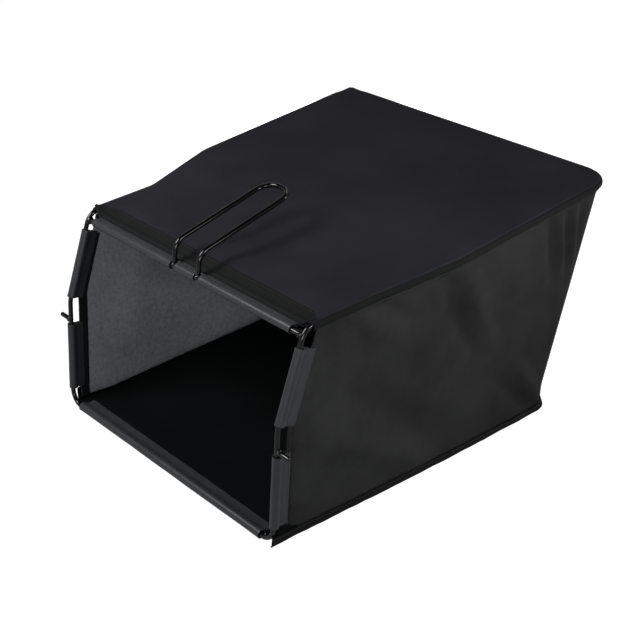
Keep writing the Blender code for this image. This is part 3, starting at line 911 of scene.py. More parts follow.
class BagShape:
    """The surfaces that the cloth follows, hung from the hoop."""

    def __init__(self, hoop: Hoop, sizes: BagSizes) -> None:
        """Works out the lines along the top and the base of the walls.

        Args:
            hoop: The wire frame's lines.
            sizes: The sewn bag's sizes.
        """
        self.hoop = hoop
        self.sizes = sizes
        self.floor = hoop.origin.z - sizes.tunnel_r
        self.stretch = sizes.edge_setback + sizes.hem_width + CLEARANCE
        turn_y = hoop.spot(0, self.rear_y, 0).y - hoop.sizes.rear_corner_r - CLOSE
        self.corner = Rail([p for p in hoop.half_loop.points if p.y >= turn_y])
        self.side_run = self.corner.points[0].y - self.top_start
        self.turn_run = self.corner.length
        self.rear_run = self.corner.points[-1].x

    @property
    def rear_y(self) -> float:
        """How far the top loop's rear is behind the bottom bar."""
        s = self.hoop.sizes
        return self.hoop.loop_set + s.front_run + s.jog_run + s.rear_run

    @property
    def top_start(self) -> float:
        """The depth at which the walls leave the mouth's plane along the top."""
        return self.hoop.spot(0, self.hoop.upright_y(self.hoop.sizes.loop_rise) + self.stretch, 0).y

    def base_half(self, y: float) -> float:
        """The base's half width at a depth behind the bottom bar."""
        share = min(max((y - self.stretch) / (self.sizes.base_depth - self.stretch), 0.0), 1.0)
        return self.hoop.half + self.sizes.base_flare * (1 - (1 - share) ** 2)

    def base_height(self, y: float) -> float:
        """The base cloth's height: at the bar in front, then down on the floor.

        Args:
            y: The distance behind the bottom bar.

        Returns:
            The height in the frame's axes.
        """
        s = self.sizes
        ease = smooth(y, s.flange, s.flange + s.base_settle)
        return mix(self.hoop.origin.z, self.floor + s.cloth / 2 + CLEARANCE, ease)

    def flat_column(self, setback: float, share: float) -> Vector:
        """A point of the wall in the mouth's plane, setback behind the upright.

        Args:
            setback: The distance behind the upright.
            share: The share of the wall's height.

        Returns:
            The point.
        """
        s = self.hoop.sizes
        low = self.base_height(setback) + self.sizes.wall_foot
        top = self.hoop.origin.z + s.loop_rise - self.sizes.wall_drop
        rise = mix(low, top, share) - self.hoop.origin.z
        lower = math.atan2(s.mid_bend_set, s.mid_bend_rise)
        ease = self.sizes.bend_ease
        turned = smooth(rise, s.mid_bend_rise - ease, s.mid_bend_rise + ease)
        lean = mix(lower, s.upper_lean, turned)
        y = self.hoop.upright_y(rise) + setback * math.cos(lean)
        return self.hoop.spot(self.hoop.half, y, rise)

    def lines(self, along: float) -> tuple[Vector, Vector]:
        """The wall's top and bottom points at a distance round the top loop.

        Args:
            along: The distance round the top loop from the mouth.

        Returns:
            The top point and the bottom point, on the right side.
        """
        s = self.sizes
        drop = Vector((0, 0, s.wall_drop))
        end = s.base_depth - s.base_corner_r
        wide = self.base_half(s.base_depth)
        if along <= self.side_run:
            share = along / self.side_run
            top_y = mix(self.top_start, self.corner.points[0].y, share)
            width, height = self.hoop.loop_at(top_y)
            top = Vector((width, top_y, height))
            y = mix(self.stretch, end, share)
            x = self.base_half(y)
        elif along <= self.side_run + self.turn_run:
            share = (along - self.side_run) / self.turn_run
            top = self.corner.at(share)
            x = wide - s.base_corner_r * (1 - math.cos(math.pi / 2 * share))
            y = end + s.base_corner_r * math.sin(math.pi / 2 * share)
        else:
            share = 1 - (along - self.side_run - self.turn_run) / self.rear_run
            last = self.corner.points[-1]
            top = Vector((last.x * share, last.y, last.z))
            x = (wide - s.base_corner_r) * share
            y = s.base_depth
        bottom = self.hoop.spot(x, y, 0)
        bottom.z = self.base_height(y) + s.wall_foot
        return top - drop, bottom

    def straight(self, along: float, share: float) -> Vector:
        """The wall stretched between its lines, leaning with the mouth in front.

        Args:
            along: The distance round the top loop from the mouth.
            share: The share of the wall's height.

        Returns:
            The point, on the right side.
        """
        if along < 0:
            return self.flat_column(self.stretch + along, share)
        top, low = self.lines(along)
        found = low.lerp(top, share)
        last = self.side_run + self.turn_run / 2
        if along < last:
            start_top, start_low = self.lines(0.0)
            lean = self.flat_column(self.stretch, share) - start_low.lerp(start_top, share)
            found += lean * (1 - along / last) ** 2
        return found

    def outward(self, along: float, share: float) -> Vector:
        """The wall's direction away from the inside of the bag.

        Args:
            along: The distance round the top loop from the mouth.
            share: The share of the wall's height.

        Returns:
            The direction, on the right side.
        """
        step = 0.003
        run = self.straight(along + step, share) - self.straight(along - step, share)
        above, below = min(share + 0.02, 1.0), max(share - 0.02, 0.0)
        rise = self.straight(along, above) - self.straight(along, below)
        return run.cross(rise).normalized()

    def loop_frame(self, x: float, y: float) -> tuple[Vector, Vector, float]:
        """The loop's nearest point, the direction out of the bag there, and how far out (x, y) is.

        Args:
            x: The point's place to the side.
            y: The point's depth.

        Returns:
            The nearest point, the direction and the distance outside the loop.
        """
        side = 1 if x >= 0 else -1
        first, last = self.corner.points[0], self.corner.points[-1]
        radius = self.hoop.sizes.rear_corner_r
        if y <= first.y:
            width, height = self.hoop.loop_at(y)
            return Vector((side * width, y, height)), Vector((side, 0, 0)), abs(x) - width
        if abs(x) <= last.x:
            return Vector((x, last.y, last.z)), Vector((0, 1, 0)), y - last.y
        centre = Vector((side * last.x, last.y - radius, 0))
        out = Vector((x, y, 0)) - centre
        reach = out.length
        out = out.normalized() if reach > 1e-6 else Vector((side, 0, 0))
        share = math.atan2(abs(out.y), abs(out.x)) / (math.pi / 2)
        point = centre + out * radius
        point.z = mix(first.z, last.z, share)
        return point, out, reach - radius


@dataclass(frozen=True)
class Piece:
    """What a finished sheet says of itself."""

    name: str
    slot: str
    held: str
    replaces: tuple[str, ...] = ()
    rests_on: tuple[str, ...] = ()


def dress(made: bpy.types.Object, piece: Piece, flat: tuple[float, float]) -> bpy.types.Object:
    """Hides the CAD parts that a sheet of cloth stands in for.

    Args:
        made: The sheet.
        piece: The piece; only the CAD parts that it replaces are used.
        flat: The size that it is cut to; not used.

    Returns:
        The sheet.
    """
    if piece.replaces:
        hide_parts(*piece.replaces)
    list(piece.rests_on)
    return made


@dataclass
class WireFrame:
    """The welded wire frame: hoop, cross bar, handle and two hanger pins."""

    hoop: Hoop
    finishes: Finishes
    weld: float = 0.0042

    def wire(self, name: str, path: Sequence[Vector], node: str, closed: bool = False) -> bpy.types.Object:
        """Makes one wire in place of its CAD node.

        Args:
            name: The piece's name.
            path: Its centre line.
            node: The CAD node.
            closed: Whether it is a closed hoop.

        Returns:
            The wire.
        """
        made = tube(name, path, self.hoop.wire_r, self.finishes.enamel, closed)
        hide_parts(node)
        return made

    def weld_bead(self, name: str, centre: Vector, axis: Vector, seed: float, grow: float = 1.0) -> None:
        """Makes one bead of weld, painted with the frame.

        Args:
            name: The piece's name.
            centre: Its middle.
            axis: The direction of the wire that it holds.
            seed: What makes its lumps its own.
            grow: How much larger it is than the others.
        """
        radii = (self.weld * 0.72 * grow, self.weld * grow)
        made = bead(name, centre, axis, radii, seed, self.finishes.enamel)

    def build(self) -> None:
        """Makes every wire and its welds."""
        hoop, s = self.hoop, self.hoop.sizes
        self.wire("hoop_wire", hoop.path, "frame_hoop", closed=True)
        end = hoop.half - hoop.wire_r * 0.6
        bar = [hoop.spot(x, hoop.bar_y, hoop.bar_z) for x in (-end, end)]
        self.wire("cross_bar_wire", bar, "mouth_cross_bar")
        self.wire("handle_wire", hoop.handle_path(), "carry_handle")
        for word, side in SIDES.items():
            y = hoop.upright_y(s.pin_rise)
            root = hoop.spot(side * (hoop.half + hoop.wire_r * 0.4), y, s.pin_rise)
            tip = hoop.spot(side * (hoop.half + s.pin_out), y, s.pin_rise)
            self.wire(f"pin_wire_{word}", [root, tip], f"hanger_pin_{word}")
            across = Vector((side, 0, 0))
            pin_weld = hoop.spot(side * (hoop.half + hoop.wire_r * 0.9), y, s.pin_rise)
            self.weld_bead(f"weld_pin_{word}", pin_weld, across, 3.0 + side)
            bar_weld = hoop.spot(side * (hoop.half - hoop.wire_r * 1.2), hoop.bar_y, hoop.bar_z)
            self.weld_bead(f"weld_bar_{word}", bar_weld, across, 7.0 + side, 1.20)
            foot = hoop.spot(side * s.handle_width / 2, hoop.bar_y, hoop.bar_z + hoop.wire_r * 0.9)
            self.weld_bead(f"weld_handle_{word}", foot, UP, 11.0 + side)


@dataclass
class Strip:
    """One vinyl strip folded round a straight wire and sewn behind it."""

    name: str
    node: str
    start: Vector
    finish: Vector
    hem_side: Vector
    back: Vector
    hem_offset: float
    hem_reach: float
    plain_reach: float
    last_turn: float | None = None
    hem_fillet: float = 0.0022


@dataclass
class Sleeves:
    """The eight vinyl sleeves that hold the mouth's edges on the frame."""

    shape: BagShape
    finishes: Finishes
    thickness: float = 0.0010
    radius: float = 0.0050
    shift: float = 0.0010
    fillet: float = 0.0018
    plain_offset: float = 0.0014
    hem_offset: float = 0.0024
    lower: tuple[float, float] = (0.020, 0.111)
    upper: tuple[float, float] = (0.148, 0.231)
    wide_flange: float = 0.0228
    left_end_gap: float = 0.0150
    end_gap: float = 0.018
    bottom_end_gap: float = 0.020
    notch: float = 0.0044
    short_turn: float = math.radians(215)
    top_fillet: float = 0.0040
    bottom_fillet: float = 0.0130
    fillet_steps: int = 5
    round_steps: int = 24
    faces_across: int = 44
    face_length: float = 0.0022
    close_row: float = 0.0098
    edge_row: float = 0.0022
    row_end: float = 0.002
    stitch: float = 0.0031

    def profile(self, strip: Strip) -> Rail:
        """The strip's section as (u, v): u to its hem side, v back to the cloth's edge.

        Args:
            strip: The strip.

        Returns:
            The section, from the hem side's cut edge to the other one.
        """
        def flank(offset: float, reach: float, fillet: float, side: int) -> tuple[list[Vector], float]:
            """One flat layer behind the wire and its bend onto the round, with the turn it ends at.

            Args:
                offset: How far beside the wire's middle the layer lies.
                reach: How far back its cut edge is.
                fillet: The radius of its bend.
                side: 1 on the hem side, -1 on the other one.

            Returns:
                The layer's points and the turn.
            """
            gap = offset + fillet
            rise = math.sqrt((self.radius + fillet) ** 2 - gap**2)
            turn = math.atan2(gap, rise)
            centre = Vector((gap, self.shift + rise, 0))
            points = [Vector((offset, reach, 0))]
            for i in range(self.fillet_steps + 1):
                angle = mix(math.pi, math.pi + math.pi / 2 - turn, i / self.fillet_steps)
                points.append(centre + Vector((math.cos(angle), math.sin(angle), 0)) * fillet)
            return [Vector((p.x * side, p.y, 0)) for p in points], turn

        first, start = flank(strip.hem_offset, strip.hem_reach, strip.hem_fillet, 1)
        last, end = flank(self.plain_offset, strip.plain_reach, self.fillet, -1)
        stop = 2 * math.pi - end if strip.last_turn is None else strip.last_turn
        points = list(first)
        for i in range(1, self.round_steps + 1):
            turn = mix(start, stop, i / self.round_steps)
            across, back = math.sin(turn) * self.radius, math.cos(turn) * self.radius
            points.append(Vector((across, self.shift + back, 0)))
        if strip.last_turn is None:
            points += last[::-1]
        return Rail(points)

    def strips(self) -> list[Strip]:
        """Every strip with its place on the frame.

        Returns:
            The eight strips.
        """
        hoop = self.shape.hoop
        s = self.shape.sizes
        found = []
        for word, side in SIDES.items():
            inward = Vector((-side, 0, 0))
            for part, (low, high) in (("lower", self.lower), ("upper", self.upper)):
                start = hoop.spot(side * hoop.half, hoop.upright_y(low), low)
                finish = hoop.spot(side * hoop.half, hoop.upright_y(high), high)
                along = (finish - start).normalized()
                back = Vector((0, along.z, -along.y))
                reach = self.wide_flange if (part, side) == ("upper", RIGHT) else s.flange
                found.append(Strip(f"vinyl_{part}_{word}", f"{part}_sleeve_{word}", start, finish, inward,
                                   back, self.hem_offset, s.hem_flange, reach))
        back = top_back(self.shape)
        up = Vector((0, -back.z, back.y))
        leg = hoop.sizes.handle_width / 2
        end = hoop.half - self.end_gap
        spans = {
            "left": (self.left_end_gap - hoop.half, -leg - self.notch, None),
            "middle": (-leg + self.notch, leg - self.notch, self.short_turn),
            "right": (leg + self.notch, end, None),
        }
        for word, (low, high, turn) in spans.items():
            ends = [hoop.spot(x, hoop.bar_y, hoop.bar_z) for x in (low, high)]
            found.append(Strip(f"vinyl_top_{word}", f"top_sleeve_{word}", *ends, up, back,
                               self.plain_offset, s.hem_flange, s.flange, turn, self.top_fillet))
        end = hoop.half - self.bottom_end_gap
        ends = [hoop.spot(x, 0, 0) for x in (-end, end)]
        found.append(Strip("vinyl_bottom", "bottom_sleeve", *ends, UP, Vector((0, 1, 0)),
                           self.plain_offset, s.flange, s.flange, None, self.bottom_fillet))
        return found

    def build(self) -> None:
        """Makes every strip and the thread that holds it."""
        for number, strip in enumerate(self.strips()):
            section = self.profile(strip)
            long = (strip.finish - strip.start).length

            def place(across: float, along: float) -> Vector:
                """Where a point of the strip lies, a little slack and opened at its cut ends.

                Args:
                    across: The share of its width.
                    along: The share of its length.

                Returns:
                    The point.
                """
                point = section.at(across)
                at = strip.start.lerp(strip.finish, along)
                end = min(along, 1 - along) * long
                open_up = 1 + 0.05 * math.exp(-end / 0.004)
                around = point - Vector((0, self.shift, 0))
                slack = 1 + 0.05 * wave(at + Vector((across * 0.03, 0, 0)), 0.03, number * 3.1)
                ring = smooth(self.radius + 0.003 - around.length, 0, 0.002)
                around *= mix(1.0, open_up * slack, ring)
                edge = smooth(point.y, 0.010, 0.016)
                ripple = 0.00035 * wave(at, 0.012, number * 5.3) * edge
                tip = 0.0005 * wave(at, 0.006, number + 40.0) * smooth(point.y, 0.013, 0.016)
                return (at + strip.hem_side * (around.x + ripple)
                        + strip.back * (around.y + self.shift + tip))

            rows = max(8, round(long / self.face_length))
            made = sheet_mesh(strip.name, self.faces_across, rows, place, (section.length, long),
                              [self.finishes.vinyl])
            thicken(made, self.thickness)
            soften(made, 0.0002)
            thread = self.sew(strip)
            dress(made, Piece(strip.name, "sleeve_vinyl", "folded", (strip.node,), ("hoop_wire",)),
                  (section.length, long))

    def sew(self, strip: Strip) -> bpy.types.Object:
        """Sews a strip: one row close behind the wire and one near its cut edge.

        Args:
            strip: The strip.

        Returns:
            The thread.
        """
        runs = []
        layers = [(strip.hem_offset, strip.hem_reach, 1)]
        if strip.last_turn is None:
            layers.append((self.plain_offset, strip.plain_reach, -1))
        inset = (strip.finish - strip.start).normalized() * self.row_end
        for offset, reach, side in layers:
            for v in (self.close_row, reach - self.edge_row):
                shift = strip.hem_side * side * (offset + self.thickness / 2) + strip.back * v
                ends = (strip.start + inset + shift, strip.finish - inset + shift)
                runs.append([(ends[0].lerp(ends[1], i / 30), strip.hem_side * side) for i in range(31)])
        thread = Thread(pitch=self.stitch).sew(strip.name + "_thread", runs, self.finishes.thread)
        return thread


def top_back(shape: BagShape) -> Vector:
    """The direction from the cross bar up to the top cloth.

    Args:
        shape: The bag's surfaces.

    Returns:
        The direction, one metre long.
    """
    hoop = shape.hoop
    y = hoop.bar_y + shape.sizes.top_inset
    _, height = hoop.loop_at(hoop.spot(0, y, 0).y)
    rise = height + 0.003 - hoop.spot(0, 0, hoop.bar_z).z
    return Vector((0, shape.sizes.top_inset, rise)).normalized()


@dataclass
class TopCloth:
    """The top: one cloth over the loop, turned down outside it, with its hem and lining."""

    shape: BagShape
    finishes: Finishes
    radius: float = 0.0050
    sag: float = 0.0030
    corner_in: float = 0.0090
    tape_start: float = 0.0085
    front_in: float = 0.0095
    open_in: float = 0.0075
    crease_out: float = 0.0024
    crease_drop: float = 0.0056
    pucker: float = 0.0046
    groove: float = 0.0012
    groove_at: float = 0.0027
    band_from: float = 0.0028
    lining_side: float = -0.0009
    lining_drops: tuple[float, float] = (0.0115, 0.0070)
    lining_span: tuple[float, float] = (0.0085, 0.998)
    cut: tuple[float, float] = (0.475, 0.478)
    rows: list[float] = field(init=False)
    columns: list[tuple[float, float]] = field(init=False)

    def __post_init__(self) -> None:
        """Sets out the turned-down edge and the grid's rows and columns."""
        shape, hoop = self.shape, self.shape.hoop
        low = -shape.sizes.tunnel_shift
        turns = [math.radians(5 * i) for i in range(24)]
        arc = [Vector((self.radius * math.sin(t), low + self.radius * math.cos(t), 0)) for t in turns]
        crease = Vector((self.crease_out, low - self.crease_drop, 0))
        self.skirt = Rail(arc + [arc[-1].lerp(crease, i / 4) for i in range(1, 5)])
        back = top_back(shape)
        self.front = hoop.spot(0, hoop.bar_y + back.y * self.front_in, 0).y
        self.slope = back.z / back.y
        self.open_y = hoop.spot(0, hoop.bend_end - self.open_in, 0).y
        self.turn_y = shape.corner.points[0].y
        self.rear_y = shape.corner.points[-1].y
        self.inner_x = shape.corner.points[-1].x
        last = self.rear_y + self.skirt.length
        self.rows = self.steps(self.front, self.open_y + 0.004, 0.0005)
        self.rows += self.steps(self.open_y + 0.006, self.turn_y - 0.003, 0.0045)
        self.rows += self.steps(self.turn_y, last, 0.0012)
        gaps = (0.0, 0.0008, 0.0016, 0.0024, 0.0034, 0.0050, 0.0075)
        close = [1 - gap / hoop.half for gap in gaps]
        inner = [-c for c in close] + [0.955 * (-1 + 2 * i / 92) for i in range(93)] + close[::-1]
        skirt = [i / 18 for i in range(1, 19)]
        self.columns = [(-1.0, -s) for s in reversed(skirt)] + [(c, 0.0) for c in inner]
        self.columns += [(1.0, s) for s in skirt]

    @staticmethod
    def steps(low: float, high: float, size: float) -> list[float]:
        """Even steps from low to high."""
        count = max(1, round((high - low) / size))
        return [mix(low, high, i / count) for i in range(count + 1)]

    def widths(self, y: float) -> tuple[float, float]:
        """The half widths at which the turned-down edge starts and ends.

        Args:
            y: The depth.

        Returns:
            Where it starts and where it ends.
        """
        hoop, radius = self.shape.hoop, self.shape.hoop.sizes.rear_corner_r
        reach = self.skirt.length
        if y < self.open_y:
            share = smooth(y, self.front, self.open_y)
            edge = mix(hoop.half - self.corner_in, hoop.half - 0.0020, share)
            return edge - 0.003, edge
        if y <= self.turn_y:
            width, _ = hoop.loop_at(y)
            return width, width + reach * smooth(y, self.open_y - 0.0005, self.open_y + 0.0015)
        over = y - self.turn_y
        outer = self.inner_x + math.sqrt(max((radius + reach) ** 2 - over**2, 0.0))
        if over < radius:
            return self.inner_x + math.sqrt(radius**2 - over**2), outer
        return self.inner_x * mix(1.0, 0.95, (over - radius) / reach), outer

    def aside(self, column: tuple[float, float], y: float) -> float:
        """How far to the side a column of the grid lies at a depth.

        Args:
            column: Its share of the part inside the loop, and of the turned-down part.
            y: The depth.

        Returns:
            Its x in metres.
        """
        inner, skirt = column
        start, finish = self.widths(y)
        if skirt == 0.0:
            return inner * start
        return math.copysign(mix(start, finish, abs(skirt)), skirt)

    def height(self, x: float, y: float) -> float:
        """The top cloth's height inside the loop.

        Args:
            x: The point's place to the side.
            y: The point's depth.

        Returns:
            The height in the frame's axes.
        """
        shape, hoop = self.shape, self.shape.hoop
        _, _, out = shape.loop_frame(x, y)
        _, loop_z = hoop.loop_at(y)
        level = loop_z + self.radius - shape.sizes.tunnel_shift
        bar = hoop.spot(0, hoop.bar_y, hoop.bar_z)
        line = bar.z + (y - bar.y) * self.slope
        inset = bar.y + shape.sizes.top_inset
        share = smooth(y, inset - 0.010, inset + 0.012)
        found = mix(line, level, share)
        inside = max(min(-out, shape.corner.points[-1].y - y), 0.0)
        beside = max(hoop.half - abs(x), 0.0)
        found = mix(level, found, smooth(max(beside, self.open_y + 0.002 - y), 0.0, 0.012))
        middle = smooth(inside, 0.0, 0.11)
        run = smooth(y, self.front + 0.03, self.front + 0.16)
        found -= self.sag * middle * run
        found += 0.0016 * wave(Vector((x, y, 0)), 0.13, 2.0) * smooth(inside, 0.004, 0.05) * share
        ahead = y - self.front
        near = min(ahead, inside + 0.006) if ahead < 0.09 else inside + 0.006
        ridge = math.exp(-(((near - 0.026) / 0.0055) ** 2)) * (1 - smooth(ahead, 0.08, 0.17))
        found -= 0.0014 * ridge * smooth(inside, 0.002, 0.012)
        return found

    def place(self, across: float, along: float) -> Vector:
        """Where a point of the grid lies.

        Args:
            across: The share of its width.
            along: The share of its length.

        Returns:
            The point.
        """
        y = self.rows[round(along * (len(self.rows) - 1))]
        x = self.aside(self.columns[round(across * (len(self.columns) - 1))], y)
        point, out, reach = self.shape.loop_frame(x, y)
        # A little pucker stands up where the cloth is pulled round the rear left corner.
        peak_at = Vector((-self.inner_x - 0.022, self.rear_y - 0.008))
        peak = self.pucker * math.exp(-(((Vector((x, y)) - peak_at).length / 0.010) ** 2))
        if reach <= 0 or y < self.open_y:
            return Vector((x, y, self.height(x, y) + peak))
        section = self.skirt.at(min(reach / self.skirt.length, 1.0))
        axis = Vector((0, -self.shape.sizes.tunnel_shift, 0))
        groove = self.groove * math.exp(-(((reach - self.groove_at) / 0.0010) ** 2))
        section = axis + (section - axis) * (1 - groove / self.radius)
        low = smooth(reach, 0.008, 0.014)
        wobble = 0.0005 * wave(Vector((x, y, 0)), 0.02, 9.0) * low
        shrug = 0.0004 * wave(Vector((x, y, 0)), 0.012, 5.0) * low
        found = point + out * (section.x + shrug)
        found.z = point.z + section.y + wobble + peak * (1 - low)
        return found

    def build(self) -> None:
        """Makes the cloth, its front tape, the tunnel's lining and their thread."""
        shape = self.shape
        made = sheet_mesh("top_cloth", len(self.columns) - 1, len(self.rows) - 1, self.place,
                          self.cut, [self.finishes.top, self.finishes.tape])
        for face in made.data.polygons:
            _, _, reach = shape.loop_frame(face.center.x, face.center.y)
            face.material_index = int(reach > self.band_from and face.center.y > self.open_y)
        self.lay_map(made)
        thicken(made, shape.sizes.cloth)
        dress(made, Piece("top_cloth", "top_fabric", "stretched", ("top_panel", "loop_sleeve"),
                          ("hoop_wire",)), self.cut)
        self.lining()
        self.front_tape()

    def lay_map(self, made: bpy.types.Object) -> None:
        """Lays the cloth's UV map out flat, in metres.

        Args:
            made: The cloth.
        """
        uv = made.data.uv_layers.active.data
        flat = self.flat()
        for loop in made.data.loops:
            uv[loop.index].uv = flat[loop.vertex_index]

    def flat(self) -> list[tuple[float, float]]:
        """Every grid point's place on the flat cloth, in the grid's own order."""
        return [(self.aside(column, y), y) for y in self.rows for column in self.columns]

    def lining(self) -> None:
        """Makes the inner half of the tunnel, seen from inside the bag."""
        shape, hoop = self.shape, self.shape.hoop
        low = -shape.sizes.tunnel_shift
        r = self.radius
        foot = [Vector((self.lining_side, low - drop, 0)) for drop in self.lining_drops]
        turns = [math.radians(200 + 10 * i) for i in range(13)]
        section = Rail(foot + [Vector((r * math.sin(t), low + r * math.cos(t) * 0.86, 0)) for t in turns])
        loop = hoop.loop

        def place(across: float, along: float) -> Vector:
            """Where a point of the lining lies.

            Args:
                across: The share of its width.
                along: The share of its length.

            Returns:
                The point.
            """
            at = loop.at(mix(*self.lining_span, along))
            _, out, _ = shape.loop_frame(at.x, at.y + 1e-5)
            point = section.at(across)
            found = at + out * point.x
            found.z += point.y
            return found

        size = (section.length, loop.length)
        made = sheet_mesh("loop_lining", 16, 420, place, size, [self.finishes.tape])
        thicken(made, shape.sizes.tape)
        dress(made, Piece("loop_lining", "hem_tape", "folded", (), ("hoop_wire",)), size)

    def front_tape(self) -> None:
        """Makes the tape on the top cloth's front edge, with two rows of stitches."""
        shape, hoop = self.shape, self.shape.hoop
        back = top_back(shape)
        bar_y = hoop.spot(0, hoop.bar_y, 0).y
        first = bar_y + back.y * self.tape_start
        depth = back.y * (shape.sizes.edge_setback + shape.sizes.top_hem_width - self.tape_start)

        def place(across: float, along: float) -> Vector:
            """Where a point of the tape lies: over the vinyl's edge, then on the cloth.

            Args:
                across: The share of its width.
                along: The share of its length.

            Returns:
                The point.
            """
            y = first + along * depth
            start, finish = self.widths(y)
            half = min(finish, start + 0.002) - 0.0008 - 0.016 * smooth(along, 0.35, 1.0) ** 2
            x = mix(-half, half, across)
            over = 1 - smooth((y - bar_y) / back.y, 0.0160, 0.0185)
            ripple = 0.00030 * wave(Vector((x, y, 0)), 0.016, 4.0)
            edge = 0.0005 * wave(Vector((x, 0, 0)), 0.01, 8.0) * abs(along - 0.5)
            ends = smooth(min(across, 1 - across) * 2 * half, 0.0, 0.020)
            lift = mix(mix(0.0003, 0.0009, ends), 0.0024, over)
            return Vector((x, y + edge, self.height(x, y) + lift + ripple))

        width = 2 * hoop.half - 0.012
        made = sheet_mesh("front_hem_tape", 190, 18, place, (width, depth), [self.finishes.tape])
        thicken(made, shape.sizes.tape)
        runs = []
        for along in (0.16, 0.90):
            runs.append([(place(i / 60, along) + UP * 0.0004, UP) for i in range(61)])
        thread = Thread(pitch=0.0034).sew("front_hem_thread", runs, self.finishes.thread)
        dress(made, Piece("front_hem_tape", "hem_tape", "laid", ("top_front_hem",), ("top_cloth",)),
              (width, depth))


@dataclass
class Walls:
    """The side and rear walls, with the tape behind the mouth's edges."""

    shape: BagShape
    finishes: Finishes
    folds: dict[str, tuple[Fold, ...]]
    slack: float = 0.0030
    ridge: float = 0.0013
    foot_ridge: float = 0.0009
    tall: float = 0.29
    cut_height: float = 0.285
    face_length: float = 0.0032
    upper_setback: float = 0.0032
    top_setback: float = 0.0050
    seam_share: float = 0.976
    seam_lap: float = 0.0004
    tape_share: float = 0.90
    tape_length: float = 0.22
    tape_behind: float = 0.0012
    pin_back: float = 0.0232
    pin_share: float = 0.432
    wall_rise: float = 0.247

    def bulge(self, word: str, along: float, share: float) -> float:
        """How far slack and folds lift the cloth off the stretched wall.

        Args:
            word: The wall: right, left or rear.
            along: The distance round the top loop from the mouth.
            share: The share of the wall's height.

        Returns:
            The lift in metres.
        """
        seed = {"right": 1.0, "left": 5.0, "rear": 9.0}[word]
        tall = self.tall
        edge = smooth(along, -0.002, 0.05) if word != "rear" else 1.0
        belly = math.sin(math.pi * min(max(share, 0.0), 1.0)) ** 0.7 * edge
        flat = Vector((along, share * tall, 0))
        lift = self.slack * belly * (wave(flat, 0.16, seed) + 0.35 * wave(flat, 0.05, seed + 3))
        hold = smooth(share, 0.0, 0.04) * smooth(1 - share, 0.0, 0.05)
        if word != "rear":
            hold *= smooth(along, -0.004, 0.02)
        corner = self.shape.side_run + self.shape.turn_run / 2
        lift *= 1 - 0.85 * math.exp(-(((along - corner) / 0.035) ** 2))
        for fold in self.folds.get(word, ()):
            lift += fold.height(along, share, tall) * hold
        # The turned-in seam allowance stands out in a thin line under the top cloth and above the base.
        below = (1 - share) * tall
        above = share * tall - mix(0.0150, 0.0078, smooth(along, 0.0, 0.42))
        lift += self.ridge * math.exp(-(((below - 0.0040) / 0.0015) ** 2))
        return lift + self.foot_ridge * math.exp(-((above / 0.0018) ** 2))

    def point(self, word: str, along: float, share: float, lift: float = 0.0) -> Vector:
        """A point of a wall, at a distance from the mouth and a share of its height.

        Args:
            word: The wall: right, left or rear.
            along: The distance round the top loop from the mouth.
            share: The share of the wall's height.
            lift: A further lift off the wall.

        Returns:
            The point.
        """
        found = self.shape.straight(along, share)
        out = self.shape.outward(along, share)
        found = found + out * (self.bulge(word, along, share) + lift)
        if word == "left":
            found.x = -found.x
        return found

    def panel(self, word: str, start: float, finish: float, node: str) -> bpy.types.Object:
        """Makes one wall of cloth.

        Args:
            word: The wall: right, left or rear.
            start: Where it starts, as a distance round the top loop.
            finish: Where it ends.
            node: The CAD node that it stands for.

        Returns:
            The wall.
        """
        shape = self.shape
        mirror = word == "left"

        def place(across: float, along: float) -> Vector:
            """Where a point of the wall lies.

            Args:
                across: The share of its width.
                along: The share of its length.

            Returns:
                The point.
            """
            if mirror:
                across = 1 - across
            first = start + self.setback(word, along)
            run = mix(first, finish, across)
            if word != "rear":
                return self.point(word, run, along)
            total = shape.side_run + shape.turn_run + shape.rear_run
            if run <= total:
                return self.point(word, run, along)
            other = self.point(word, 2 * total - run, along)
            return Vector((-other.x, other.y, other.z))

        size = (finish - start, self.cut_height)
        made = sheet_mesh(f"wall_{word}", round(size[0] / self.face_length), 84, place, size,
                          [self.finishes.side, self.finishes.back])
        thicken(made, shape.sizes.cloth, inner=1)
        dress(made, Piece(made.name, "side_fabric", "hung", (node,), ("hoop_wire",)), size)
        return made

    def build(self) -> None:
        """Makes the three walls, the two tapes and their thread."""
        shape = self.shape
        first = shape.sizes.edge_setback - shape.stretch
        seam = shape.side_run + shape.turn_run / 2
        total = shape.side_run + shape.turn_run + shape.rear_run
        self.panel("right", first, seam, "side_panel_right")
        self.panel("left", first, seam, "side_panel_left")
        self.panel("rear", seam - self.seam_lap, 2 * total - seam + self.seam_lap, "rear_panel")
        self.seams(total)
        for word in SIDES:
            self.mouth_tape(word)
            self.tack(word)

    def setback(self, word: str, share: float) -> float:
        """How much further back the right wall's front edge is cut, at a share of its height.

        Args:
            word: The wall: right, left or rear.
            share: The share of the wall's height.

        Returns:
            The distance in metres.
        """
        if word != "right":
            return 0.0
        upper = self.upper_setback * smooth(share, 0.38, 0.46)
        return upper + self.top_setback * smooth(share, 0.87, 0.93)

    def tack(self, word: str) -> None:
        """Sews the black bar tack that locks the hem beside the pin.

        Args:
            word: The side: right or left.
        """
        side = SIDES[word]
        middle = self.pin_back - self.shape.stretch
        runs = []
        for ends in TACK_STITCHES:
            a, b = [self.sewn(word, middle + y, self.pin_share + z / self.wall_rise, side)
                    for y, z in ends]
            runs.append([(a[0].lerp(b[0], i / 6), a[1]) for i in range(7)])
        thread = Thread(pitch=0.0022, share=1.0, radius=0.00042)
        thread.sew(f"bar_tack_{word}", runs, self.finishes.tack)

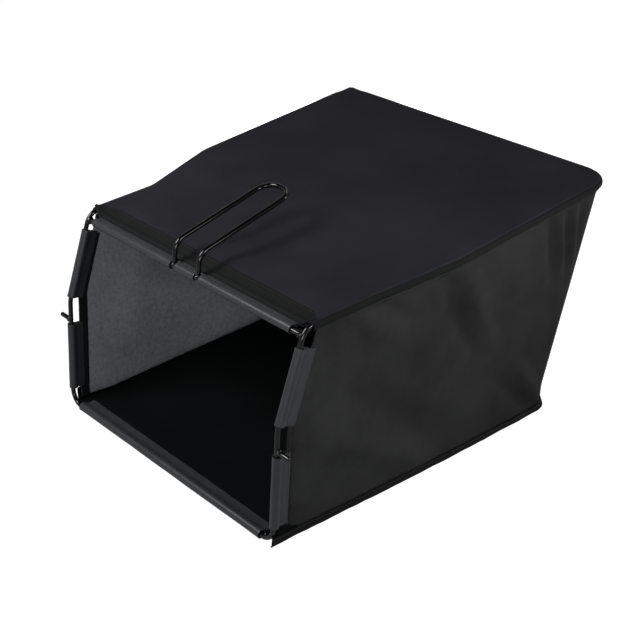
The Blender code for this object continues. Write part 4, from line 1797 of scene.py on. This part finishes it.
    def seams(self, total: float) -> None:
        """Sews the walls under the top cloth and down both rear corners.

        Args:
            total: The distance round the top loop from the mouth to the middle of the rear.
        """
        corner = self.shape.side_run + self.shape.turn_run / 2
        for word in (*SIDES, "rear"):
            runs = []
            if word == "rear":
                start, finish, sides = corner + 0.002, total, (RIGHT, LEFT)
                edge = start + 0.004
            else:
                start, finish, sides = 0.0, corner - 0.002, (SIDES[word],)
                edge = finish - 0.004
            for side in sides:
                shares = [i / 160 for i in range(161)]
                runs.append([self.sewn(word, mix(start, finish, share), self.seam_share, side)
                             for share in shares])
                runs.append([self.sewn(word, edge, mix(0.03, 0.97, share), side) for share in shares])
            thread = Thread(pitch=0.0038).sew(f"seam_thread_{word}", runs, self.finishes.thread)

    def sewn(self, word: str, along: float, share: float, side: int) -> tuple[Vector, Vector]:
        """A point on a wall's outer face and the direction out of it, on the right or the left.

        Args:
            word: The wall: right, left or rear.
            along: The distance round the top loop from the mouth.
            share: The share of the wall's height.
            side: RIGHT or LEFT.

        Returns:
            The point and the direction.
        """
        out = self.shape.outward(along, share)
        lift = self.bulge(word, along, share) + self.shape.sizes.cloth / 2
        found = self.shape.straight(along, share) + out * lift
        return Vector((found.x * side, found.y, found.z)), Vector((out.x * side, out.y, out.z))

    def mouth_tape(self, word: str) -> None:
        """Makes the tape inside a side wall's front edge.

        Args:
            word: The side: right or left.
        """
        shape = self.shape
        first = shape.sizes.edge_setback - shape.stretch
        width = shape.sizes.hem_width
        high = self.tape_share

        def place(across: float, along: float) -> Vector:
            """Where a point of the tape lies.

            Args:
                across: The share of its width.
                along: The share of its length.

            Returns:
                The point.
            """
            run = first + self.setback(word, along * high) + across * width
            return self.point(word, run, along * high, -self.tape_behind)

        size = (width, self.tape_length)
        made = sheet_mesh(f"mouth_tape_{word}", 6, 90, place, size, [self.finishes.tape])
        thicken(made, shape.sizes.tape)
        run = [(self.point(word, first + width * 0.8, mix(0.02, 0.97, i / 60), 0.0005),
                Vector((SIDES[word], 0, 0))) for i in range(61)]
        thread = Thread(radius=0.00045).sew(f"mouth_thread_{word}", [run], self.finishes.tack)
        dress(made, Piece(made.name, "hem_tape", "stretched", (f"mouth_hem_{word}",), (f"wall_{word}",)),
              size)


@dataclass
class Base:
    """The base cloth and the bound seam allowance round it."""

    shape: BagShape
    finishes: Finishes
    corner_reach: float = 0.0082
    left_start: float = 0.008
    right_start: float = -0.0015
    cut: tuple[float, float] = (0.42, 0.44)
    patch_end: float = 0.0340
    patch_foot: float = 0.0055
    patch_width: float = 0.014
    binding_width: float = 0.0150
    binding_lean: float = 0.0032
    binding_foot: float = 0.0016
    tongue: float = 0.0075
    tongue_reach: float = 0.011
    tongue_in: float = 0.3
    row_share: float = 0.12

    def build(self) -> None:
        """Makes the base cloth and its binding."""
        self.floor_cloth()
        self.binding()
        for word, side in SIDES.items():
            self.corner_patch(word, side)

    def floor_cloth(self) -> None:
        """Makes the base cloth, down from the bottom bar onto the floor."""
        shape, hoop, s = self.shape, self.shape.hoop, self.shape.sizes
        end = s.base_depth - s.base_corner_r
        edge = s.cloth / 2

        def place(across: float, along: float) -> Vector:
            """Where a point of the base lies, seen from below so that its face points down.

            Args:
                across: The share of its width.
                along: The share of its length.

            Returns:
                The point.
            """
            y = mix(s.edge_setback, s.base_depth + edge, along)
            if y <= end:
                half = shape.base_half(y) + edge
            else:
                over = min((y - end) / (s.base_corner_r + edge), 1.0)
                corner = (s.base_corner_r + edge) * math.sqrt(max(1 - over**2, 0.0))
                half = shape.base_half(s.base_depth) - s.base_corner_r + corner
            share = 1 - 2 * across
            x = half * share
            inside = smooth(1 - abs(share), 0, 0.15) * smooth(y, 0.03, 0.07)
            inside *= smooth(s.base_depth - y, 0, 0.04)
            lift = 0.0016 * max(wave(Vector((x, y, 0)), 0.11, 6.0), -0.1) * inside
            reach = self.corner_reach * smooth(abs(x), 0.176, 0.184) * (1 - smooth(y, 0.012, 0.040))
            found = hoop.spot(x, y - reach, 0)
            found.z = shape.base_height(y) + max(lift, 0.0)
            return found

        made = sheet_mesh("base_cloth", 90, 100, place, self.cut, [self.finishes.base])
        thicken(made, s.cloth * 0.8)
        dress(made, Piece("base_cloth", "side_fabric", "laid", ("base_panel",), ("hoop_wire",)),
              self.cut)

    def stations(self) -> list[tuple[Vector, Vector]]:
        """(low, outward) pairs round the base, from the right of the mouth to the left.

        Returns:
            The pairs in order.
        """
        shape, hoop = self.shape, self.shape.hoop
        total = shape.side_run + shape.turn_run + shape.rear_run
        lows = []
        for i in range(14):
            y = mix(-0.003, shape.stretch, i / 14)
            point = hoop.spot(hoop.half, y, 0)
            point.z = shape.base_height(y) + shape.sizes.wall_foot
            lows.append(point)
        lows += [shape.lines(total * i / 220)[1] for i in range(221)]
        start = hoop.spot(0, self.left_start, 0).y
        lows += [low for low in mirrored(lows[:-1]) if low.y > start]
        found = []
        for i, low in enumerate(lows):
            run = lows[min(i + 1, len(lows) - 1)] - lows[max(i - 1, 0)]
            found.append((low, Vector((run.y, -run.x, 0)).normalized()))
        return found

    def corner_patch(self, word: str, side: int) -> None:
        """Makes the patch that closes the wall's lower front corner behind the wire's bend.

        Args:
            word: The side: right or left.
            side: RIGHT or LEFT.
        """
        hoop = self.shape.hoop
        first = self.right_start if side == RIGHT else self.left_start

        def place(across: float, along: float) -> Vector:
            """Where a point of the patch lies, outside the wall.

            Args:
                across: The share of its width.
                along: The share of its length.

            Returns:
                The point.
            """
            y = mix(first, self.patch_end, across)
            top = mix(0.0075, 0.0165, smooth(y, -0.002, 0.014)) - 0.0078 * smooth(y, 0.014, 0.034)
            top += 0.0008 * wave(Vector((y, 0, 0)), 0.004, 2.0)
            out = 0.0017 + 0.0004 * wave(Vector((y, along * 0.02, 0)), 0.01, 5.0)
            found = hoop.spot(side * (hoop.half + out), y, 0)
            found.z = self.shape.floor + mix(self.patch_foot, top + self.patch_foot, along)
            return found

        size = (self.patch_end - first, self.patch_width)
        made = sheet_mesh(f"corner_patch_{word}", 32, 12, place, size, [self.finishes.base])
        thicken(made, self.shape.sizes.tape)
        dress(made, Piece(made.name, "hem_tape", "stretched", (), (f"wall_{word}",)), size)

    def binding(self) -> None:
        """Makes the tape folded over the seam allowance, wavy along its lower edge."""
        shape, s = self.shape, self.shape.sizes
        stations = self.stations()
        rail = Rail([low for low, _ in stations])
        first = stations[0][0].y
        reach = shape.hoop.spot(0, s.base_depth, 0).y - first
        wide = shape.base_half(s.base_depth)
        inward = self.tongue_in * s.base_corner_r
        bend = shape.hoop.spot(wide - inward, s.base_depth - inward, 0)

        def place(across: float, along: float) -> Vector:
            """Where a point of the binding lies.

            Args:
                across: The share of its width.
                along: The share of its length.

            Returns:
                The point.
            """
            low, out = stations[min(round(along * (len(stations) - 1)), len(stations) - 1)]
            share = (low.y - first) / reach
            away = Vector((abs(low.x), low.y, 0)) - Vector((bend.x, bend.y, 0))
            tongue = math.exp(-((away.length / self.tongue_reach) ** 2))
            high = mix(s.binding_high, s.binding_low, share) + self.tongue * tongue + shape.floor
            lean = out * (self.binding_lean + 0.0004 * share + 0.0016 * tongue)
            upper = Vector((low.x, low.y, high)) + lean
            sway = 0.0009 * wave(low, 0.022, 3.0) + 0.0012 * wave(low, 0.07, 8.0)
            spread = self.binding_foot + s.binding_out * share + 0.0022 * tongue
            lower = low + out * (spread + sway * smooth(share, 0.02, 0.2))
            lower.z = shape.floor + 0.0010 + 0.0007 * max(wave(low, 0.018, 1.0), -0.4)
            under = lower - out * self.binding_foot
            inner = Vector((low.x, low.y, shape.floor + 0.0014)) - out * 0.0004
            section = Rail(bent([Corner(upper, 0), Corner(lower, 0.0008), Corner(under, 0.0006),
                                 Corner(inner, 0)], closed=False, step=math.radians(30)))
            return section.at(across)

        size = (self.binding_width, rail.length)
        made = sheet_mesh("edge_binding", 16, len(stations) - 1, place, size, [self.finishes.tape])
        thicken(made, s.tape)
        run = []
        for i in range(0, len(stations), 2):
            along = i / (len(stations) - 1)
            out = stations[i][1]
            run.append((place(self.row_share, along) + out * 0.0005, (out + UP * 0.2).normalized()))
        thread = Thread(pitch=0.0042).sew("edge_binding_thread", [run], self.finishes.thread)
        dress(made, Piece("edge_binding", "hem_tape", "folded", ("base_binding",), ("base_cloth",)),
              size)


# The studio


@dataclass
class Lamp:
    """A soft box: where it hangs, what it faces and how strong it is."""

    name: str
    place: tuple[float, float, float]
    aim: tuple[float, float, float]
    size: tuple[float, float]
    power: float
    spread: float = math.pi

    def hang(self) -> None:
        """Hangs the lamp."""
        data = bpy.data.lights.new(self.name, "AREA")
        data.shape = "RECTANGLE"
        data.size, data.size_y = self.size
        data.energy = self.power
        data.spread = self.spread
        lamp = bpy.data.objects.new(self.name, data)
        lamp.location = self.place
        towards = Vector(self.aim) - Vector(self.place)
        lamp.rotation_euler = towards.to_track_quat("-Z", "Y").to_euler()
        bpy.context.scene.collection.objects.link(lamp)


@dataclass
class Studio:
    """A white floor, soft boxes and the camera of the photograph."""

    glow: float = 0.95
    fill: float = 0.15
    ceiling: float = 0.10
    mirror: float = 0.35
    lamps: tuple[Lamp, ...] = (
        Lamp("key_box", (-0.35, -0.75, 0.98), (0.0, -0.05, 0.25), (0.45, 0.45), 8.8),
        Lamp("rear_strip", (-0.75, 1.25, 1.70), (0.0, -0.05, 0.25), (1.3, 0.40), 2.2),
        Lamp("right_box", (0.90, 0.04, 0.50), (0.225, 0.04, 0.285), (0.36, 0.20), 0.44, math.radians(60)),
        Lamp("rake_box", (0.80, 1.30, 0.46), (0.23, 0.0, 0.15), (0.30, 0.50), 5.5),
        Lamp("front_box", (1.35, -1.40, 0.72), (0.0, -0.15, 0.12), (0.80, 0.60), 8.8),
        Lamp("left_box", (-0.85, 0.85, 0.15), (-0.22, 0.10, 0.14), (0.40, 0.18), 14.0),
    )

    def build(self) -> None:
        """Sets the whole studio up."""
        self.world()
        self.floor()
        for lamp in self.lamps:
            lamp.hang()
        self.camera()
        bpy.context.scene.view_settings.view_transform = "Standard"

    def seen(self, tree: bpy.types.NodeTree, path: bpy.types.Node) -> bpy.types.NodeSocket:
        """How much of a white surface's glow a ray meets.

        White round a dark object mirrors less than it shows, as it lies in the object's shade.

        Args:
            tree: The tree that the nodes go into.
            path: Its light path node.

        Returns:
            1 for the camera and through cloth, the mirror's share in a gloss, 0 for other light.
        """
        dimmer = add(tree, "ShaderNodeMath", {0: path.outputs["Is Glossy Ray"], 1: self.mirror},
                     operation="MULTIPLY")
        direct = add(tree, "ShaderNodeMath", {0: path.outputs["Is Camera Ray"], 1: dimmer.outputs[0]},
                     operation="MAXIMUM")
        through = {0: direct.outputs[0], 1: path.outputs["Is Transmission Ray"]}
        return add(tree, "ShaderNodeMath", through, operation="MAXIMUM").outputs[0]

    def world(self) -> None:
        """Fills the surroundings: white where seen, softer as light."""
        world = bpy.data.worlds.new("studio_white")
        world.use_nodes = True
        tree = world.node_tree
        path = add(tree, "ShaderNodeLightPath")
        reach = {"Value": self.seen(tree, path), "To Min": self.fill, "To Max": 1.0}
        strength = add(tree, "ShaderNodeMapRange", reach)
        # The backdrop is white all round, and the ceiling over the soft boxes is dim.
        where = add(tree, "ShaderNodeTexCoord").outputs["Generated"]
        height = add(tree, "ShaderNodeSeparateXYZ", {"Vector": where}).outputs["Z"]
        ceiling = add(tree, "ShaderNodeMapRange", {"Value": height, "From Min": 0.25, "From Max": 0.60,
                                                   "To Min": 1.0, "To Max": self.ceiling})
        shown = add(tree, "ShaderNodeMath", {0: path.outputs["Is Camera Ray"], 1: ceiling.outputs["Result"]},
                    operation="MAXIMUM")
        level = add(tree, "ShaderNodeMath", {0: shown.outputs[0], 1: strength.outputs["Result"]},
                    operation="MULTIPLY")
        glow = tree.nodes["Background"]
        glow.inputs["Color"].default_value = (1, 1, 1, 1)
        tree.links.new(level.outputs[0], glow.inputs["Strength"])
        bpy.context.scene.world = world

    def floor(self) -> None:
        """Lays a seamless white sheet that keeps only a faint shadow."""
        bm = bmesh.new()
        bmesh.ops.create_grid(bm, x_segments=4, y_segments=4, size=8.0)
        bmesh.ops.translate(bm, verts=bm.verts, vec=(0, 0, cad_low.z - 0.0004))
        paper = bpy.data.materials.new("white_studio_paper")
        paper.use_nodes = True
        tree = paper.node_tree
        shader = tree.nodes["Principled BSDF"]
        shader.inputs["Base Color"].default_value = linear("#7a7a7a")
        shader.inputs["Roughness"].default_value = 1.0
        shader.inputs["Specular IOR Level"].default_value = 0.0
        seen = self.seen(tree, add(tree, "ShaderNodeLightPath"))
        # The sheet is lit evenly white at a distance, and keeps the bag's shadow close to it.
        where = add(tree, "ShaderNodeTexCoord").outputs["Object"]
        away = add(tree, "ShaderNodeVectorMath", {0: where}, operation="LENGTH").outputs["Value"]
        glow = add(tree, "ShaderNodeMapRange", {"Value": away, "From Min": 0.45, "From Max": 1.10,
                                                "To Min": self.glow, "To Max": 1.0})
        level = add(tree, "ShaderNodeMath", {0: seen, 1: glow.outputs["Result"]},
                    operation="MULTIPLY")
        white = add(tree, "ShaderNodeEmission", {"Color": (1, 1, 1, 1), "Strength": level.outputs[0]})
        both = add(tree, "ShaderNodeAddShader", {0: shader.outputs[0], 1: white.outputs[0]})
        out = tree.nodes["Material Output"]
        tree.links.new(both.outputs[0], out.inputs["Surface"])
        mesh = bpy.data.meshes.new("studio_floor")
        bm.to_mesh(mesh)
        bm.free()
        mesh.materials.append(paper)
        made = bpy.data.objects.new("studio_floor", mesh)
        bpy.context.scene.collection.objects.link(made)

    def camera(self) -> None:
        """Places the camera where the photograph was taken from."""
        data = bpy.data.cameras.new("camera")
        data.lens = CAMERA_LENS
        data.sensor_width = 36.0
        made = bpy.data.objects.new("camera", data)
        made.location = CAMERA_PLACE
        made.rotation_euler = CAMERA_TURN
        bpy.context.scene.collection.objects.link(made)
        bpy.context.scene.camera = made


RIGHT_FOLDS = (
    Fold((0.160, 1.00), (0.255, 0.50), 0.012, -0.0060),
    Fold((0.190, 1.00), (0.290, 0.48), 0.013, 0.0050),
    Fold((0.050, 0.99), (0.098, 0.82), 0.011, 0.0052),
    Fold((0.082, 1.00), (0.135, 0.82), 0.010, -0.0050),
    Fold((0.136, 0.92), (0.205, 0.70), 0.020, -0.0040),
    Fold((0.338, 0.98), (0.377, 0.66), 0.007, -0.0040),
    Fold((0.356, 0.98), (0.394, 0.70), 0.006, 0.0032),
    Fold((0.370, 0.97), (0.408, 0.64), 0.006, -0.0038),
    Fold((0.385, 0.97), (0.416, 0.70), 0.006, 0.0030),
    Fold((0.398, 0.95), (0.424, 0.66), 0.006, -0.0034),
    Fold((0.344, 0.32), (0.430, 0.03), 0.010, 0.0050),
    Fold((0.320, 0.26), (0.405, 0.02), 0.010, -0.0040),
    Fold((0.069, 0.60), (0.250, 0.02), 0.024, -0.0080),
    Fold((0.030, 0.44), (0.220, 0.02), 0.015, 0.0066),
)
LEFT_FOLDS = (
    Fold((0.060, 0.98), (0.150, 0.55), 0.014, 0.0050),
    Fold((0.085, 0.99), (0.178, 0.50), 0.016, -0.0056),
    Fold((0.225, 1.00), (0.262, 0.58), 0.012, -0.0044),
    Fold((0.250, 1.00), (0.300, 0.50), 0.013, 0.0046),
    Fold((0.352, 0.98), (0.386, 0.66), 0.007, 0.0036),
    Fold((0.370, 0.98), (0.404, 0.62), 0.007, -0.0042),
    Fold((0.392, 0.96), (0.420, 0.68), 0.006, 0.0032),
    Fold((0.080, 0.52), (0.300, 0.05), 0.026, -0.0064),
    Fold((0.120, 0.56), (0.345, 0.08), 0.018, 0.0052),
    Fold((0.340, 0.30), (0.425, 0.04), 0.011, 0.0040),
)
REAR_FOLDS = (
    Fold((0.470, 1.00), (0.485, 0.62), 0.008, 0.0040),
    Fold((0.486, 1.00), (0.505, 0.55), 0.009, -0.0044),
    Fold((0.540, 1.00), (0.600, 0.42), 0.018, -0.0046),
    Fold((0.566, 1.00), (0.640, 0.46), 0.014, 0.0040),
    Fold((0.600, 0.40), (0.500, 0.06), 0.020, 0.0046),
)


def main() -> None:
    """Builds the bag and its studio in order."""
    logging.basicConfig(level=logging.INFO, format="%(name)s %(message)s")
    hoop = Hoop(HoopSizes())
    shape = BagShape(hoop, BagSizes())
    finishes = Finishes.create()
    WireFrame(hoop, finishes).build()
    Sleeves(shape, finishes).build()
    TopCloth(shape, finishes).build()
    Walls(shape, finishes, {"right": RIGHT_FOLDS, "left": LEFT_FOLDS, "rear": REAR_FOLDS}).build()
    Base(shape, finishes).build()
    Studio().build()


if __name__ == "__main__":
    main()
